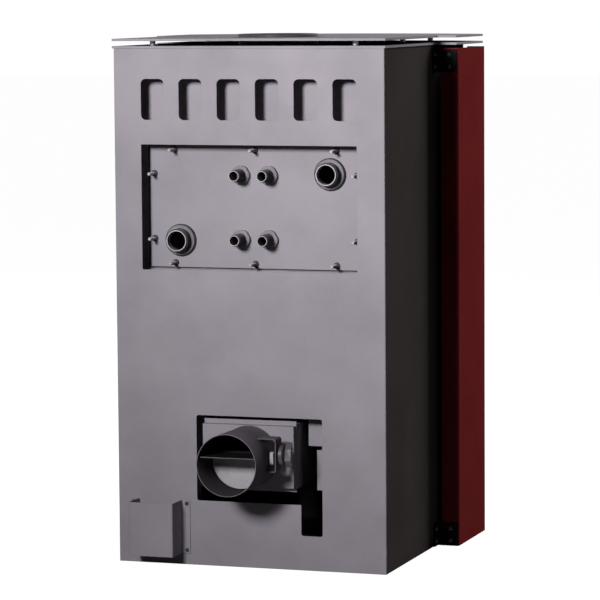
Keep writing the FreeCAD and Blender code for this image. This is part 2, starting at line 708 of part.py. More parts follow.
def air_inlet_box():
    """Box with a raised face in a flange, which stands out of the cut-out and carries the inlet tube."""
    def slab(width, height, y0, y1):
        left = INLET_SHIFT - width / 2
        return box(left, left + width, y0, y1, INLET_Z - height / 2, INLET_Z + height / 2)
    body = slab(INLET_BODY_WIDTH, INLET_BODY_HEIGHT, COVER_OUTER, INLET_STEP)
    flange = slab(INLET_BODY_WIDTH, INLET_FLANGE_HEIGHT, INLET_STEP - SHEET, INLET_STEP)
    raised = slab(INLET_FACE_WIDTH, INLET_FACE_HEIGHT, COVER_OUTER, INLET_FACE)
    hollow = slab(INLET_FACE_WIDTH - 2 * SHEET, INLET_FACE_HEIGHT - 2 * SHEET,
                  COVER_OUTER, INLET_FACE - SHEET)
    mouth = rod(TUBE_RADIUS - TUBE_WALL, (0, COVER_OUTER, INLET_Z), (0, 1, 0), TUBE_MOUTH - COVER_OUTER)
    return body.fuse([flange, raised]).removeSplitter().cut([hollow, mouth])


def air_inlet_tube():
    """Round tube for the outside air with a slimmer free end, drilled for the damper's axle."""
    bore = TUBE_RADIUS - TUBE_WALL
    shoulder = TUBE_MOUTH - SPIGOT_LENGTH
    body = pipe(TUBE_BODY_RADIUS, bore, (0, INLET_FACE, INLET_Z), (0, 1, 0), shoulder - INLET_FACE)
    spigot = pipe(TUBE_RADIUS, bore, (0, shoulder, INLET_Z), (0, 1, 0), SPIGOT_LENGTH)
    return body.fuse(spigot).removeSplitter().cut(axle_bore())


def axle_bore():
    """Drilling for the damper's axle right across the tube."""
    start = (-2 * TUBE_RADIUS, AXLE_Y, AXLE_Z)
    return rod(AXLE_RADIUS + RUNNING_CLEARANCE, start, (1, 0, 0), 4 * TUBE_RADIUS)


def air_duct():
    """Sheet duct from the inlet box to the floor of the ash compartment."""
    half = INLET_FACE_WIDTH / 2 - SHEET
    low = INLET_Z - INLET_FACE_HEIGHT / 2
    high = INLET_Z + INLET_FACE_HEIGHT / 2
    front = COVER_OUTER - DUCT_LENGTH
    back = front + DUCT_RISER
    outer = prism([(COVER_OUTER, low), (front, low), (front, ASH_FLOOR), (back, ASH_FLOOR), (back, high),
                   (COVER_OUTER, high)], "x", -half, 2 * half)
    inner = prism([(COVER_OUTER, low + SHEET), (front + SHEET, low + SHEET), (front + SHEET, ASH_FLOOR),
                   (back - SHEET, ASH_FLOOR), (back - SHEET, high - SHEET), (COVER_OUTER, high - SHEET)],
                  "x", -half + SHEET, 2 * (half - SHEET))
    return outer.cut(inner)


def inlet_splitter():
    """Fixed level plate in the tube, from just inside its mouth to the axle."""
    back = AXLE_Y + AXLE_RADIUS + SPLITTER_GAP
    front = TUBE_MOUTH - SPLITTER_SETBACK
    half = BLADE_THICKNESS / 2
    plate = box(-TUBE_RADIUS, TUBE_RADIUS, back, front, AXLE_Z - half, AXLE_Z + half)
    return plate.common(rod(TUBE_RADIUS - TUBE_WALL, (0, back, INLET_Z), (0, 1, 0), front - back))


def damper_blade():
    """Flap that hangs from the axle and closes the tube below the level plate."""
    y0 = AXLE_Y - BLADE_THICKNESS / 2
    disc = rod(BLADE_RADIUS, (0, y0, INLET_Z), (0, 1, 0), BLADE_THICKNESS)
    top = AXLE_Z + AXLE_RADIUS / 2
    below = box(-BLADE_RADIUS, BLADE_RADIUS, y0, y0 + BLADE_THICKNESS, INLET_Z - BLADE_RADIUS, top)
    return disc.common(below)


def damper_axle():
    """Round axle through the tube, out to the knob, slotted for the blade."""
    end = STRIP_X - WASHER_GAP - WASHER_THICKNESS - KNOB_NECK - KNOB_LENGTH / 2
    return rod(AXLE_RADIUS, (end, AXLE_Y, AXLE_Z), (1, 0, 0), TUBE_RADIUS - end).cut(damper_blade())


def damper_bracket():
    """Bent strip on the tube's side that steadies the axle."""
    y0 = AXLE_Y - STRIP_WIDTH / 2
    z0 = AXLE_Z - STRIP_HEIGHT / 2
    z1 = z0 + STRIP_HEIGHT
    def block(x, low, high, radius):
        solid = box(x, 0, y0, y0 + STRIP_WIDTH, low, high)
        outer = [edge for edge in solid.Edges if edge.CenterOfMass.x < x / 2]
        bends = [edge for edge in outer if edge.BoundBox.YLength > STRIP_WIDTH / 2]
        return solid.makeFillet(radius, bends)
    strip = block(STRIP_X, z0, z1, STRIP_BEND + SHEET)
    strip = strip.cut(block(STRIP_X + SHEET, z0 + SHEET, z1 - SHEET, STRIP_BEND))
    return strip.cut([rod(TUBE_BODY_RADIUS, (0, y0, INLET_Z), (0, 1, 0), STRIP_WIDTH), axle_bore()])


def damper_arm():
    """Short crank that hangs from the axle between tube and bracket."""
    x = STRIP_X + SHEET + ARM_GAP
    half = ARM_WIDTH / 2
    bar = box(x, x + ARM_THICKNESS, AXLE_Y - half, AXLE_Y + half, AXLE_Z - ARM_LENGTH, AXLE_Z)
    ends = [rod(half, (x, AXLE_Y, z), (1, 0, 0), ARM_THICKNESS) for z in (AXLE_Z - ARM_LENGTH, AXLE_Z)]
    return bar.fuse(ends).cut(rod(AXLE_RADIUS, (x, AXLE_Y, AXLE_Z), (1, 0, 0), ARM_THICKNESS))


def damper_washer():
    """Washer between the bracket and the knob."""
    start = STRIP_X - WASHER_GAP
    return pipe(WASHER_RADIUS, AXLE_RADIUS, (start, AXLE_Y, AXLE_Z), (-1, 0, 0), WASHER_THICKNESS)


def damper_knob():
    """Bar knob across the axle's end, its ends sloped at the rear, with a neck against the washer."""
    start = STRIP_X - WASHER_GAP - WASHER_THICKNESS
    back = AXLE_Y + KNOB_DEPTH / 2
    front = AXLE_Y - KNOB_DEPTH / 2
    rise = KNOB_HEIGHT / 2
    upper = [(back, AXLE_Z + KNOB_FLAT / 2), (back - KNOB_SLOPE, AXLE_Z + rise), (front, AXLE_Z + rise)]
    lower = [(front, AXLE_Z - rise), (back - KNOB_SLOPE, AXLE_Z - rise), (back, AXLE_Z - KNOB_FLAT / 2)]
    corners = upper + lower
    knob = prism(corners, "x", start - KNOB_NECK - KNOB_LENGTH, KNOB_LENGTH)
    knob = knob.makeFillet(KNOB_EDGE, knob.Edges)
    knob = knob.fuse(rod(KNOB_NECK_RADIUS, (start, AXLE_Y, AXLE_Z), (-1, 0, 0), KNOB_NECK))
    return knob.cut(rod(AXLE_RADIUS, (start, AXLE_Y, AXLE_Z), (-1, 0, 0), KNOB_NECK + KNOB_LENGTH / 2))


def hat_screw_places():
    """Four screws in the flanges of the hat-section bracket."""
    reach = HAT_WIDTH / 2 + HAT_FLANGE - HAT_SCREW_EDGE
    return [(HAT_MIDDLE_X + side * reach, z) for side in (-1, 1)
            for z in (HAT_BOTTOM + HAT_SCREW_EDGE, HAT_BOTTOM + HAT_HEIGHT - HAT_SCREW_EDGE)]


def hat_bracket():
    """Hat-section bracket, open at top and bottom, on the rear panel."""
    left = HAT_MIDDLE_X - HAT_WIDTH / 2
    right = left + HAT_WIDTH
    top = HAT_BOTTOM + HAT_HEIGHT
    flanges = box(left - HAT_FLANGE, right + HAT_FLANGE, REAR, REAR + HAT_SHEET, HAT_BOTTOM, top)
    hat = box(left, right, REAR, REAR + HAT_DEPTH, HAT_BOTTOM, top)
    bends = [edge for edge in edges_along(hat, "z") if edge.BoundBox.YMin > REAR + HAT_DEPTH / 2]
    hat = hat.makeFillet(2 * HAT_SHEET, bends)
    hollow = box(left + HAT_SHEET, right - HAT_SHEET, REAR, REAR + HAT_DEPTH - HAT_SHEET, HAT_BOTTOM, top)
    bends = [edge for edge in edges_along(hollow, "z") if edge.BoundBox.YMin > REAR + HAT_DEPTH / 2]
    hollow = hollow.makeFillet(HAT_SHEET, bends)
    holes = [rod(SCREW_RADIUS + HOLE_CLEARANCE, (x, REAR, z), (0, 1, 0), HAT_SHEET)
             for x, z in hat_screw_places()]
    return flanges.fuse(hat).cut([hollow] + holes)


def firebox_shell():
    """Welded box open at the front, with holes for the tank, the flue and the ash."""
    front = -REAR - PLATE_BOW_DEPTH
    outer = box(-SHELL_HALF, SHELL_HALF, front, SHELL_REAR, SHELL_BOTTOM, SHELL_TOP)
    inner = box(-SHELL_HALF + SHELL_WALL, SHELL_HALF - SHELL_WALL, front, SHELL_REAR - SHELL_WALL,
                SHELL_BOTTOM + SHELL_WALL, SHELL_TOP - SHELL_WALL)
    flue = rod(FLUE_BORE - FLUE_STOP, (0, FLUE_Y, SHELL_TOP - 2 * SHELL_WALL), (0, 0, 1), 4 * SHELL_WALL)
    cuts = [inner, flue, tank_block(-HOLE_CLEARANCE), grate_hole(GRATE_LEDGE, SHELL_BOTTOM - CUT_MARGIN)]
    return inside_bow(outer.cut(cuts + bolt_holes()), FRAME_INNER)


def grate_hole(ledge, z):
    """Opening under the grate, smaller than the grate by a ledge."""
    x = GRATE_WIDTH / 2 - ledge
    y = GRATE_LENGTH / 2 - ledge
    return box(-x, x, GRATE_MIDDLE_Y - y, GRATE_MIDDLE_Y + y, z, HEARTH + CUT_MARGIN)


def firebox_floor():
    """Floor bricks with the seat of the grate."""
    front = -REAR - PLATE_BOW_DEPTH
    half = SHELL_HALF - SHELL_WALL
    bricks = box(-half, half, front, SHELL_REAR - SHELL_WALL, SHELL_BOTTOM + SHELL_WALL, HEARTH)
    cuts = [grate_hole(GRATE_LEDGE, SHELL_BOTTOM), grate_hole(-SEAT_GAP, HEARTH - GRATE_THICKNESS)]
    return inside_bow(bricks.cut(cuts), FRAME_INNER)


def grate():
    """Cast grate with long slots."""
    x = GRATE_WIDTH / 2
    y = GRATE_LENGTH / 2
    plate = box(-x, x, GRATE_MIDDLE_Y - y, GRATE_MIDDLE_Y + y, HEARTH - GRATE_THICKNESS, HEARTH)
    pitch = (GRATE_WIDTH - 2 * GRATE_LEDGE) / GRATE_BARS
    slot_y = y - 2 * GRATE_LEDGE
    slots = []
    for index in range(GRATE_BARS):
        middle = (index - (GRATE_BARS - 1) / 2) * pitch
        slots.append(box(middle - GRATE_SLOT / 2, middle + GRATE_SLOT / 2, GRATE_MIDDLE_Y - slot_y,
                         GRATE_MIDDLE_Y + slot_y, HEARTH - GRATE_THICKNESS, HEARTH))
    return plate.cut(slots)


def firebox_lining():
    """Upright slab along one side of the firebox."""
    front = -REAR - PLATE_BOW_DEPTH
    slab = box(LINING_FACE, SHELL_HALF - SHELL_WALL, front, SHELL_REAR - SHELL_WALL, HEARTH, BAFFLE_Z)
    return inside_bow(slab, FRAME_INNER).cut(tank_block(-PANEL_CLEARANCE))


def smoke_baffle():
    """Slab on top of the linings that sends the smoke to the front."""
    half = SHELL_HALF - SHELL_WALL
    front = BOW_Y - FRAME_INNER + BAFFLE_FRONT_GAP
    return box(-half, half, front, SHELL_REAR - SHELL_WALL, BAFFLE_Z, BAFFLE_Z + BAFFLE_THICKNESS)


def firebox_supports():
    """Upright plates between the base and the firebox."""
    back = REAR - SUPPORT_SETBACK
    plate = box(SUPPORT_SPREAD - SUPPORT_THICKNESS, SUPPORT_SPREAD, back - SUPPORT_LENGTH, back,
                BASE_THICKNESS, SHELL_BOTTOM)
    return Part.makeCompound([plate, mirrored(plate)])


def ash_compartment():
    """Sheet box under the firebox, open at the top and the front."""
    half = ASH_WIDTH / 2
    front = -REAR - PLATE_BOW_DEPTH
    back = REAR - ASH_SETBACK
    outer = box(-half, half, front, back, ASH_FLOOR, SHELL_BOTTOM)
    inner = box(-half + ASH_WALL, half - ASH_WALL, front, back - ASH_WALL, ASH_FLOOR_TOP, SHELL_BOTTOM)
    duct = INLET_FACE_WIDTH / 2 - 2 * SHEET
    riser = COVER_OUTER - DUCT_LENGTH
    inlet = box(-duct, duct, riser + SHEET, riser + DUCT_RISER - SHEET, ASH_FLOOR, ASH_FLOOR_TOP)
    return inside_bow(outer.cut([inner, inlet]), FRAME_INNER)


def ash_drawer():
    """Open-topped drawer that slides on the compartment's floor."""
    front = -REAR - PLATE_BOW_DEPTH
    back = REAR - DRAWER_SETBACK
    top = DRAWER_BOTTOM + DRAWER_HEIGHT
    outer = box(-DRAWER_HALF, DRAWER_HALF, front, back, DRAWER_BOTTOM, top)
    inner = box(-DRAWER_HALF + DRAWER_WALL, DRAWER_HALF - DRAWER_WALL, front, back - DRAWER_WALL,
                DRAWER_BOTTOM + DRAWER_WALL, top)
    return inside_bow(outer, FRONT_INNER).cut(inside_bow(inner, FRONT_INNER - DRAWER_WALL))


def ash_drawer_front():
    """Bowed front of the ash drawer."""
    return bow(FRONT_INNER, DOOR_OUTER, -FRONT_HALF_ANGLE, FRONT_HALF_ANGLE,
               DRAWER_FRONT_BOTTOM, DRAWER_FRONT_TOP)


def ash_drawer_pull():
    """Round pull in the middle of the drawer's front."""
    z = (DRAWER_FRONT_BOTTOM + DRAWER_FRONT_TOP) / 2
    pull = bow_rod(PULL_RADIUS, 0, z, DOOR_OUTER - FRONT_SHEET / 2, PULL_LENGTH + FRONT_SHEET / 2)
    return pull.cut(bow(WELL_INSIDE, DOOR_OUTER, -FRONT_HALF_ANGLE, FRONT_HALF_ANGLE, 0, PANEL_HEIGHT))


def front_frame():
    """Bowed plate with the door opening and the drawer opening."""
    span = math.degrees(math.asin(HALF / FRAME_INNER))
    plate = bow(FRAME_INNER, FRAME_OUTER, -span, span, BASE_THICKNESS, PANEL_HEIGHT - SHIELD_TOP_GAP)
    plate = plate.common(box(-INNER_HALF, INNER_HALF, -FAR, REAR, 0, PANEL_HEIGHT))
    door = bow(WELL_INSIDE, DOOR_OUTER, -OPENING_ANGLE, OPENING_ANGLE,
               DOOR_BOTTOM + OPENING_MARGIN, DOOR_TOP - OPENING_MARGIN)
    half = ASH_WIDTH / 2 - ASH_WALL
    drawer = box(-half, half, -FAR, 0, ASH_FLOOR, DRAWER_BOTTOM + DRAWER_HEIGHT + DRAWER_SIDE_GAP)
    return plate.cut([door, drawer])


def bowed_cover(low, high, slider_z):
    """Bowed sheet with top and bottom flanges, a slider slot and the slider's guides."""
    cover = bow(FRAME_OUTER, DOOR_OUTER, -FRONT_HALF_ANGLE, FRONT_HALF_ANGLE, low, high)
    hollow = bow(FRAME_OUTER, FRONT_INNER, -FRONT_HALF_ANGLE, FRONT_HALF_ANGLE,
                 low + PANEL_FLANGE, high - PANEL_FLANGE)
    reach = slider_angle(SLIDER_STEM_RADIUS + SEAT_GAP)
    travel = slider_angle(SLIDER_TRAVEL)
    half = SLIDER_STEM_RADIUS + SEAT_GAP
    slot = bow(WELL_INSIDE, WELL_OUTSIDE, -reach, travel + reach, slider_z - half, slider_z + half)
    cover = cover.cut(hollow).cut(slot)
    edge = SLIDER_HEIGHT / 2 + SEAT_GAP
    end = slider_angle(SLIDER_LENGTH / 2)
    guide_inner = FRONT_INNER - SLIDER_THICKNESS
    upper = bow(guide_inner, FRONT_INNER, -end, end + travel, slider_z + edge, slider_z + edge + GUIDE_HEIGHT)
    lower = bow(guide_inner, FRONT_INNER, -end, end + travel, slider_z - edge - GUIDE_HEIGHT, slider_z - edge)
    return cover.fuse([upper, lower])


def slider_angle(length):
    """Angle that a length takes along the inside of the bowed front."""
    return math.degrees(length / FRONT_INNER)


def air_slider(z):
    """Curved slide behind the bowed front, with a stem through the slot and a round knob."""
    end = slider_angle(SLIDER_LENGTH / 2)
    outer = FRONT_INNER - SEAT_GAP
    plate = bow(outer - SLIDER_THICKNESS, outer, -end, end, z - SLIDER_HEIGHT / 2, z + SLIDER_HEIGHT / 2)
    middle = outer - SLIDER_THICKNESS / 2
    knob_start = DOOR_OUTER + SLIDER_KNOB_GAP
    stem = bow_rod(SLIDER_STEM_RADIUS, 0, z, middle, knob_start + SLIDER_KNOB_LENGTH / 2 - middle)
    knob = bow_rod(SLIDER_KNOB_RADIUS, 0, z, knob_start, SLIDER_KNOB_LENGTH)
    rims = [edge for edge in knob.Edges if edge.BoundBox.YLength < FLATNESS]
    return plate.fuse([stem, knob.makeFillet(SLIDER_KNOB_EDGE, rims)])


def plinth():
    """Set-back skirt under the lower front panel."""
    outer = DOOR_OUTER - PLINTH_INSET
    return bow(outer - FRONT_SHEET, outer, -FRONT_HALF_ANGLE, FRONT_HALF_ANGLE,
               BASE_THICKNESS, LOWER_PANEL_BOTTOM)


def pivot_rod(radius, z0, z1):
    """Upright bar on the door's hinge axis."""
    x, y = bow_point(PIVOT_R, PIVOT_ANGLE)
    return rod(radius, (x, y, z0), (0, 0, 1), z1 - z0)


def hinge_bracket(z0):
    """Plate on the front frame that holds a pivot pin of the door."""
    side = math.degrees(2 * PIVOT_RADIUS / PIVOT_R)
    reach = PIVOT_R + 2 * PIVOT_RADIUS
    plate = bow(FRAME_OUTER, reach, PIVOT_ANGLE - side, PIVOT_ANGLE + side, z0, z0 + HINGE_PLATE)
    return plate.cut(pivot_rod(PIVOT_RADIUS + RUNNING_CLEARANCE, z0, z0 + HINGE_PLATE))


def hinge_brackets():
    """Upper and lower plates of the door's hinge."""
    low = DOOR_BOTTOM - SEAT_GAP - HINGE_PLATE
    return Part.makeCompound([hinge_bracket(low), hinge_bracket(DOOR_TOP + SEAT_GAP)])


def door_pivot_pins():
    """Pins at the door's top and bottom corners."""
    low = pivot_rod(PIVOT_RADIUS, DOOR_BOTTOM - SEAT_GAP - HINGE_PLATE, DOOR_BOTTOM + PIVOT_DEPTH)
    high = pivot_rod(PIVOT_RADIUS, DOOR_TOP - PIVOT_DEPTH, DOOR_TOP + SEAT_GAP + HINGE_PLATE)
    return Part.makeCompound([low, high])


def window_piece(inner, outer, lap_angle, lap_height):
    """Piece of ring as wide and tall as the door's window, larger by a lap."""
    angle = FRONT_HALF_ANGLE - WINDOW_FRAME_ANGLE + lap_angle
    low = DOOR_BOTTOM + WINDOW_FRAME_HEIGHT - lap_height
    high = DOOR_TOP - WINDOW_FRAME_HEIGHT + lap_height
    return bow(inner, outer, -angle, angle, low, high)


def door_frame():
    """Bowed door frame with the window, the glass rebate and the drillings."""
    frame = bow(DOOR_INNER, DOOR_OUTER, -FRONT_HALF_ANGLE, FRONT_HALF_ANGLE, DOOR_BOTTOM, DOOR_TOP)
    seat = DOOR_OUTER - GLASS_SEAT + SEAT_GAP
    rebate = GLASS_LAP_ANGLE + GLASS_GAP_ANGLE
    cuts = [window_piece(WELL_INSIDE, WELL_OUTSIDE, 0, 0)]
    cuts.append(window_piece(WELL_INSIDE, seat, rebate, GLASS_LAP_HEIGHT + SEAT_GAP))
    cuts.append(pivot_rod(PIVOT_RADIUS + RUNNING_CLEARANCE, DOOR_BOTTOM, DOOR_BOTTOM + PIVOT_DEPTH))
    cuts.append(pivot_rod(PIVOT_RADIUS + RUNNING_CLEARANCE, DOOR_TOP - PIVOT_DEPTH, DOOR_TOP))
    cuts.append(bow_rod(SPINDLE_RADIUS + RUNNING_CLEARANCE, HANDLE_ANGLE, HANDLE_Z, WELL_INSIDE, DOOR_OUTER))
    return frame.cut(cuts)


def door_glass():
    """Curved pane in the door's rebate."""
    outer = DOOR_OUTER - GLASS_SEAT
    return window_piece(outer - GLASS_THICKNESS, outer, GLASS_LAP_ANGLE, GLASS_LAP_HEIGHT)


def glass_clips():
    """Clips on the door's inner face that hold the pane."""
    angle = FRONT_HALF_ANGLE - WINDOW_FRAME_ANGLE + GLASS_LAP_ANGLE
    span = math.degrees(CLIP_SIZE / 2 / DOOR_INNER)
    low = DOOR_BOTTOM + WINDOW_FRAME_HEIGHT
    high = DOOR_TOP - WINDOW_FRAME_HEIGHT
    pane = DOOR_OUTER - GLASS_SEAT - GLASS_THICKNESS
    clips = []
    for z in (low - GLASS_LAP_HEIGHT, high + GLASS_LAP_HEIGHT):
        for middle in (-angle / 2, angle / 2):
            clip = bow(DOOR_INNER - CLIP_THICKNESS, DOOR_INNER, middle - span, middle + span,
                       z - CLIP_SIZE / 2, z + CLIP_SIZE / 2)
            inward = z + SEAT_GAP if z < HANDLE_Z else z - CLIP_SIZE / 2
            foot_top = inward + CLIP_SIZE / 2 - SEAT_GAP
            foot = bow(DOOR_INNER, pane, middle - span, middle + span, inward, foot_top)
            clips.append(clip.fuse(foot))
    return Part.makeCompound(clips)


def door_gasket():
    """Rope seal round the door's inner face."""
    inner = FRAME_OUTER + SEAT_GAP
    angle = OPENING_ANGLE + GASKET_ANGLE / 2
    low = DOOR_BOTTOM + OPENING_MARGIN - GASKET_HEIGHT / 2
    high = DOOR_TOP - OPENING_MARGIN + GASKET_HEIGHT / 2
    outside = bow(inner, DOOR_INNER, -angle - GASKET_ANGLE, angle + GASKET_ANGLE,
                  low - GASKET_HEIGHT, high + GASKET_HEIGHT)
    return outside.cut(bow(WELL_INSIDE, WELL_OUTSIDE, -angle, angle, low, high))


def door_handle():
    """Spindle through the door with a hanging lever outside and a tongue inside."""
    inner = FRAME_OUTER + DOOR_GAP / 2 - TONGUE_THICKNESS / 2
    outer = DOOR_OUTER + SEAT_GAP + HUB_LENGTH
    spindle = bow_rod(SPINDLE_RADIUS, HANDLE_ANGLE, HANDLE_Z, inner, outer - inner)
    hub = bow_rod(HUB_RADIUS, HANDLE_ANGLE, HANDLE_Z, DOOR_OUTER + SEAT_GAP, HUB_LENGTH)
    x, y = bow_point(outer + LEVER_RADIUS / 2, HANDLE_ANGLE)
    lever = rod(LEVER_RADIUS, (x, y, HANDLE_Z + HUB_RADIUS), (0, 0, -1), LEVER_LENGTH)
    ends = [edge for edge in lever.Edges if edge.BoundBox.ZLength < FLATNESS]
    lever = lever.makeFillet(LEVER_EDGE, ends)
    return spindle.fuse([hub, lever, tongue(inner)])


def tongue(inner):
    """Flat latch tongue that points past the door's free edge."""
    block = box(-TONGUE_HEIGHT / 2, TONGUE_LENGTH, -inner - TONGUE_THICKNESS, -inner,
                HANDLE_Z - TONGUE_HEIGHT / 2, HANDLE_Z + TONGUE_HEIGHT / 2)
    block.rotate(Vector(0, 0, 0), Vector(0, 0, 1), HANDLE_ANGLE)
    block.translate(Vector(0, BOW_Y, 0))
    return block


def latch_keeper():
    """Plate on the front frame behind the tongue."""
    inner = FRAME_OUTER + DOOR_GAP / 2 - TONGUE_THICKNESS / 2 - SEAT_GAP
    middle = HANDLE_ANGLE + math.degrees(TONGUE_LENGTH / 2 / FRAME_OUTER)
    span = math.degrees(KEEPER_WIDTH / 2 / FRAME_OUTER)
    return bow(FRAME_OUTER, inner, middle - span, middle + span,
               HANDLE_Z - KEEPER_HEIGHT / 2, HANDLE_Z + KEEPER_HEIGHT / 2)


def pieces():
    """Every piece of the stove by its name."""
    made = {
        "base_plate": base_plate(),
        "rear_panel": rear_panel(),
        "side_panel_right": side_panel(),
        "rear_heat_shield": rear_heat_shield(),
        "wing_panel_right": wing_panel(),
        "wing_brackets": wing_brackets(),
        "casing_screws": casing_screws(),
        "lower_top_plate": top_plate(PLATE_LOW, FLUE_OUTER + FLUE_PLATE_GAP),
        "upper_top_plate": top_plate(PLATE_HIGH, FLUE_OUTER + FLUE_PLATE_GAP),
        "top_plate_spacers": top_plate_spacers(),
        "flue_collar": flue_collar(),
        "boiler_cover_plate": boiler_cover_plate(),
        "boiler_gasket": boiler_gasket(),
        "boiler_tank": boiler_tank(),
        "boiler_bolts": boiler_bolts(),
        "stub_collars": Part.makeCompound([stub_collar(place) for place in stub_places()]),
        "loop_lock_nuts": loop_lock_nuts(),
        "air_inlet_box": air_inlet_box(),
        "air_inlet_tube": air_inlet_tube(),
        "air_duct": air_duct(),
        "inlet_splitter": inlet_splitter(),
        "damper_blade": damper_blade(),
        "damper_axle": damper_axle(),
        "damper_washer": damper_washer(),
        "damper_knob": damper_knob(),
        "damper_bracket": damper_bracket(),
        "damper_arm": damper_arm(),
        "hat_bracket": hat_bracket(),
        "firebox_shell": firebox_shell(),
        "firebox_floor": firebox_floor(),
        "firebox_lining_right": firebox_lining(),
        "firebox_supports": firebox_supports(),
        "grate": grate(),
        "smoke_baffle": smoke_baffle(),
        "ash_compartment": ash_compartment(),
        "ash_drawer": ash_drawer(),
        "ash_drawer_front": ash_drawer_front(),
        "ash_drawer_pull": ash_drawer_pull(),
        "front_frame": front_frame(),
        "front_header": bowed_cover(HEADER_BOTTOM, PANEL_HEIGHT, SECONDARY_Z),
        "lower_front_panel": bowed_cover(LOWER_PANEL_BOTTOM, LOWER_PANEL_TOP, PRIMARY_Z),
        "primary_air_slider": air_slider(PRIMARY_Z),
        "secondary_air_slider": air_slider(SECONDARY_Z),
        "plinth": plinth(),
        "hinge_brackets": hinge_brackets(),
        "latch_keeper": latch_keeper(),
        "door_frame": door_frame(),
        "door_glass": door_glass(),
        "glass_clips": glass_clips(),
        "door_gasket": door_gasket(),
        "door_pivot_pins": door_pivot_pins(),
        "door_handle": door_handle(),
    }
    for name in ("side_panel", "wing_panel", "firebox_lining"):
        made[name + "_left"] = mirrored(made[name + "_right"])
    for name, place in zip(("flow", "return"), stub_places()):
        made[name + "_stub"] = water_stub(place)
    for name, side in (("left", -LOOP_X), ("right", LOOP_X)):
        made["cooling_loop_" + name] = cooling_loop(side)
    return made


def main():
    """Build every piece and write it to its file."""
    os.makedirs("parts", exist_ok=True)
    for name, shape in pieces().items():
        shape.exportStep("parts/" + name + ".step")


main()
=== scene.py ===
"""Wood stove with a back boiler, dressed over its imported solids.

Metres, +Z up, front towards -Y. Sizes are written in millimetres and turned to metres by MM.
"""
import json
import math

import bpy
from mathutils import Matrix, Vector


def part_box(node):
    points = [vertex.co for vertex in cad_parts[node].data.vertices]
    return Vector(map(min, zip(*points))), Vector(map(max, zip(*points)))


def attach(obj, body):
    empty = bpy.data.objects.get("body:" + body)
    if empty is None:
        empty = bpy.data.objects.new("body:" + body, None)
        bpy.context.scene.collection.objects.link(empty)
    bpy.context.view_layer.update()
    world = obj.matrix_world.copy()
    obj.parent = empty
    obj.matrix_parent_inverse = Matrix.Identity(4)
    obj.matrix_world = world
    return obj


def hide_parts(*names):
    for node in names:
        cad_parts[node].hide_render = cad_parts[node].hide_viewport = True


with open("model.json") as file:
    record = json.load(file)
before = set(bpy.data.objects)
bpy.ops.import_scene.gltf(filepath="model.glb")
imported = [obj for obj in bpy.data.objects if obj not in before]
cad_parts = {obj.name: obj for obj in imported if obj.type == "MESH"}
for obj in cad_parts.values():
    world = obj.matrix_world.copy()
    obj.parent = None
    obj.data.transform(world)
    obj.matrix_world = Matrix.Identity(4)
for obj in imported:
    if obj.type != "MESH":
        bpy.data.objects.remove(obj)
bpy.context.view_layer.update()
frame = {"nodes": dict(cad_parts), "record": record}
NODES = frame["nodes"]
MM = 0.001


# Materials

def linear(code):
    """Linear colour, with alpha, of an sRGB hex value."""
    parts = [int(code[at:at + 2], 16) / 255 for at in (1, 3, 5)]
    shades = [part / 12.92 if part <= 0.04045 else ((part + 0.055) / 1.055) ** 2.4 for part in parts]
    return (*shades, 1.0)


# Sockets that are told apart by number: of a colour Mix, and of a Map Range
MIX_BY, MIX_A, MIX_B, MIXED = 0, 6, 7, 2
FROM_LOW, FROM_HIGH, TO_LOW, TO_HIGH = 1, 2, 3, 4


def add(tree, kind, sockets=None, stops=None, **settings):
    """One shader node with its settings, its ramp stops and its linked or fixed sockets."""
    made = tree.nodes.new("ShaderNode" + kind)
    for name, value in settings.items():
        setattr(made, name, value)
    if stops:
        ramp = made.color_ramp.elements
        while len(ramp) < len(stops):
            ramp.new(0.5)
        for element, (place, colour) in zip(ramp, stops):
            element.position = place
            element.color = colour
    for name, value in (sockets or {}).items():
        if isinstance(value, bpy.types.NodeSocket):
            tree.links.new(value, made.inputs[name])
        else:
            made.inputs[name].default_value = value
    return made


def grey(level):
    """Neutral linear colour of one level."""
    return (level, level, level, 1.0)


def start(name):
    """New material with its node tree, its shader and the object coordinates."""
    material = bpy.data.materials.new(name)
    material.use_nodes = True
    tree = material.node_tree
    shader = tree.nodes["Principled BSDF"]
    place = add(tree, "TexCoord").outputs["Object"]
    return material, tree, shader, place


def per_mm(size):
    """Texture scale at which one feature of the pattern is a size in millimetres."""
    return 1 / (size * MM)


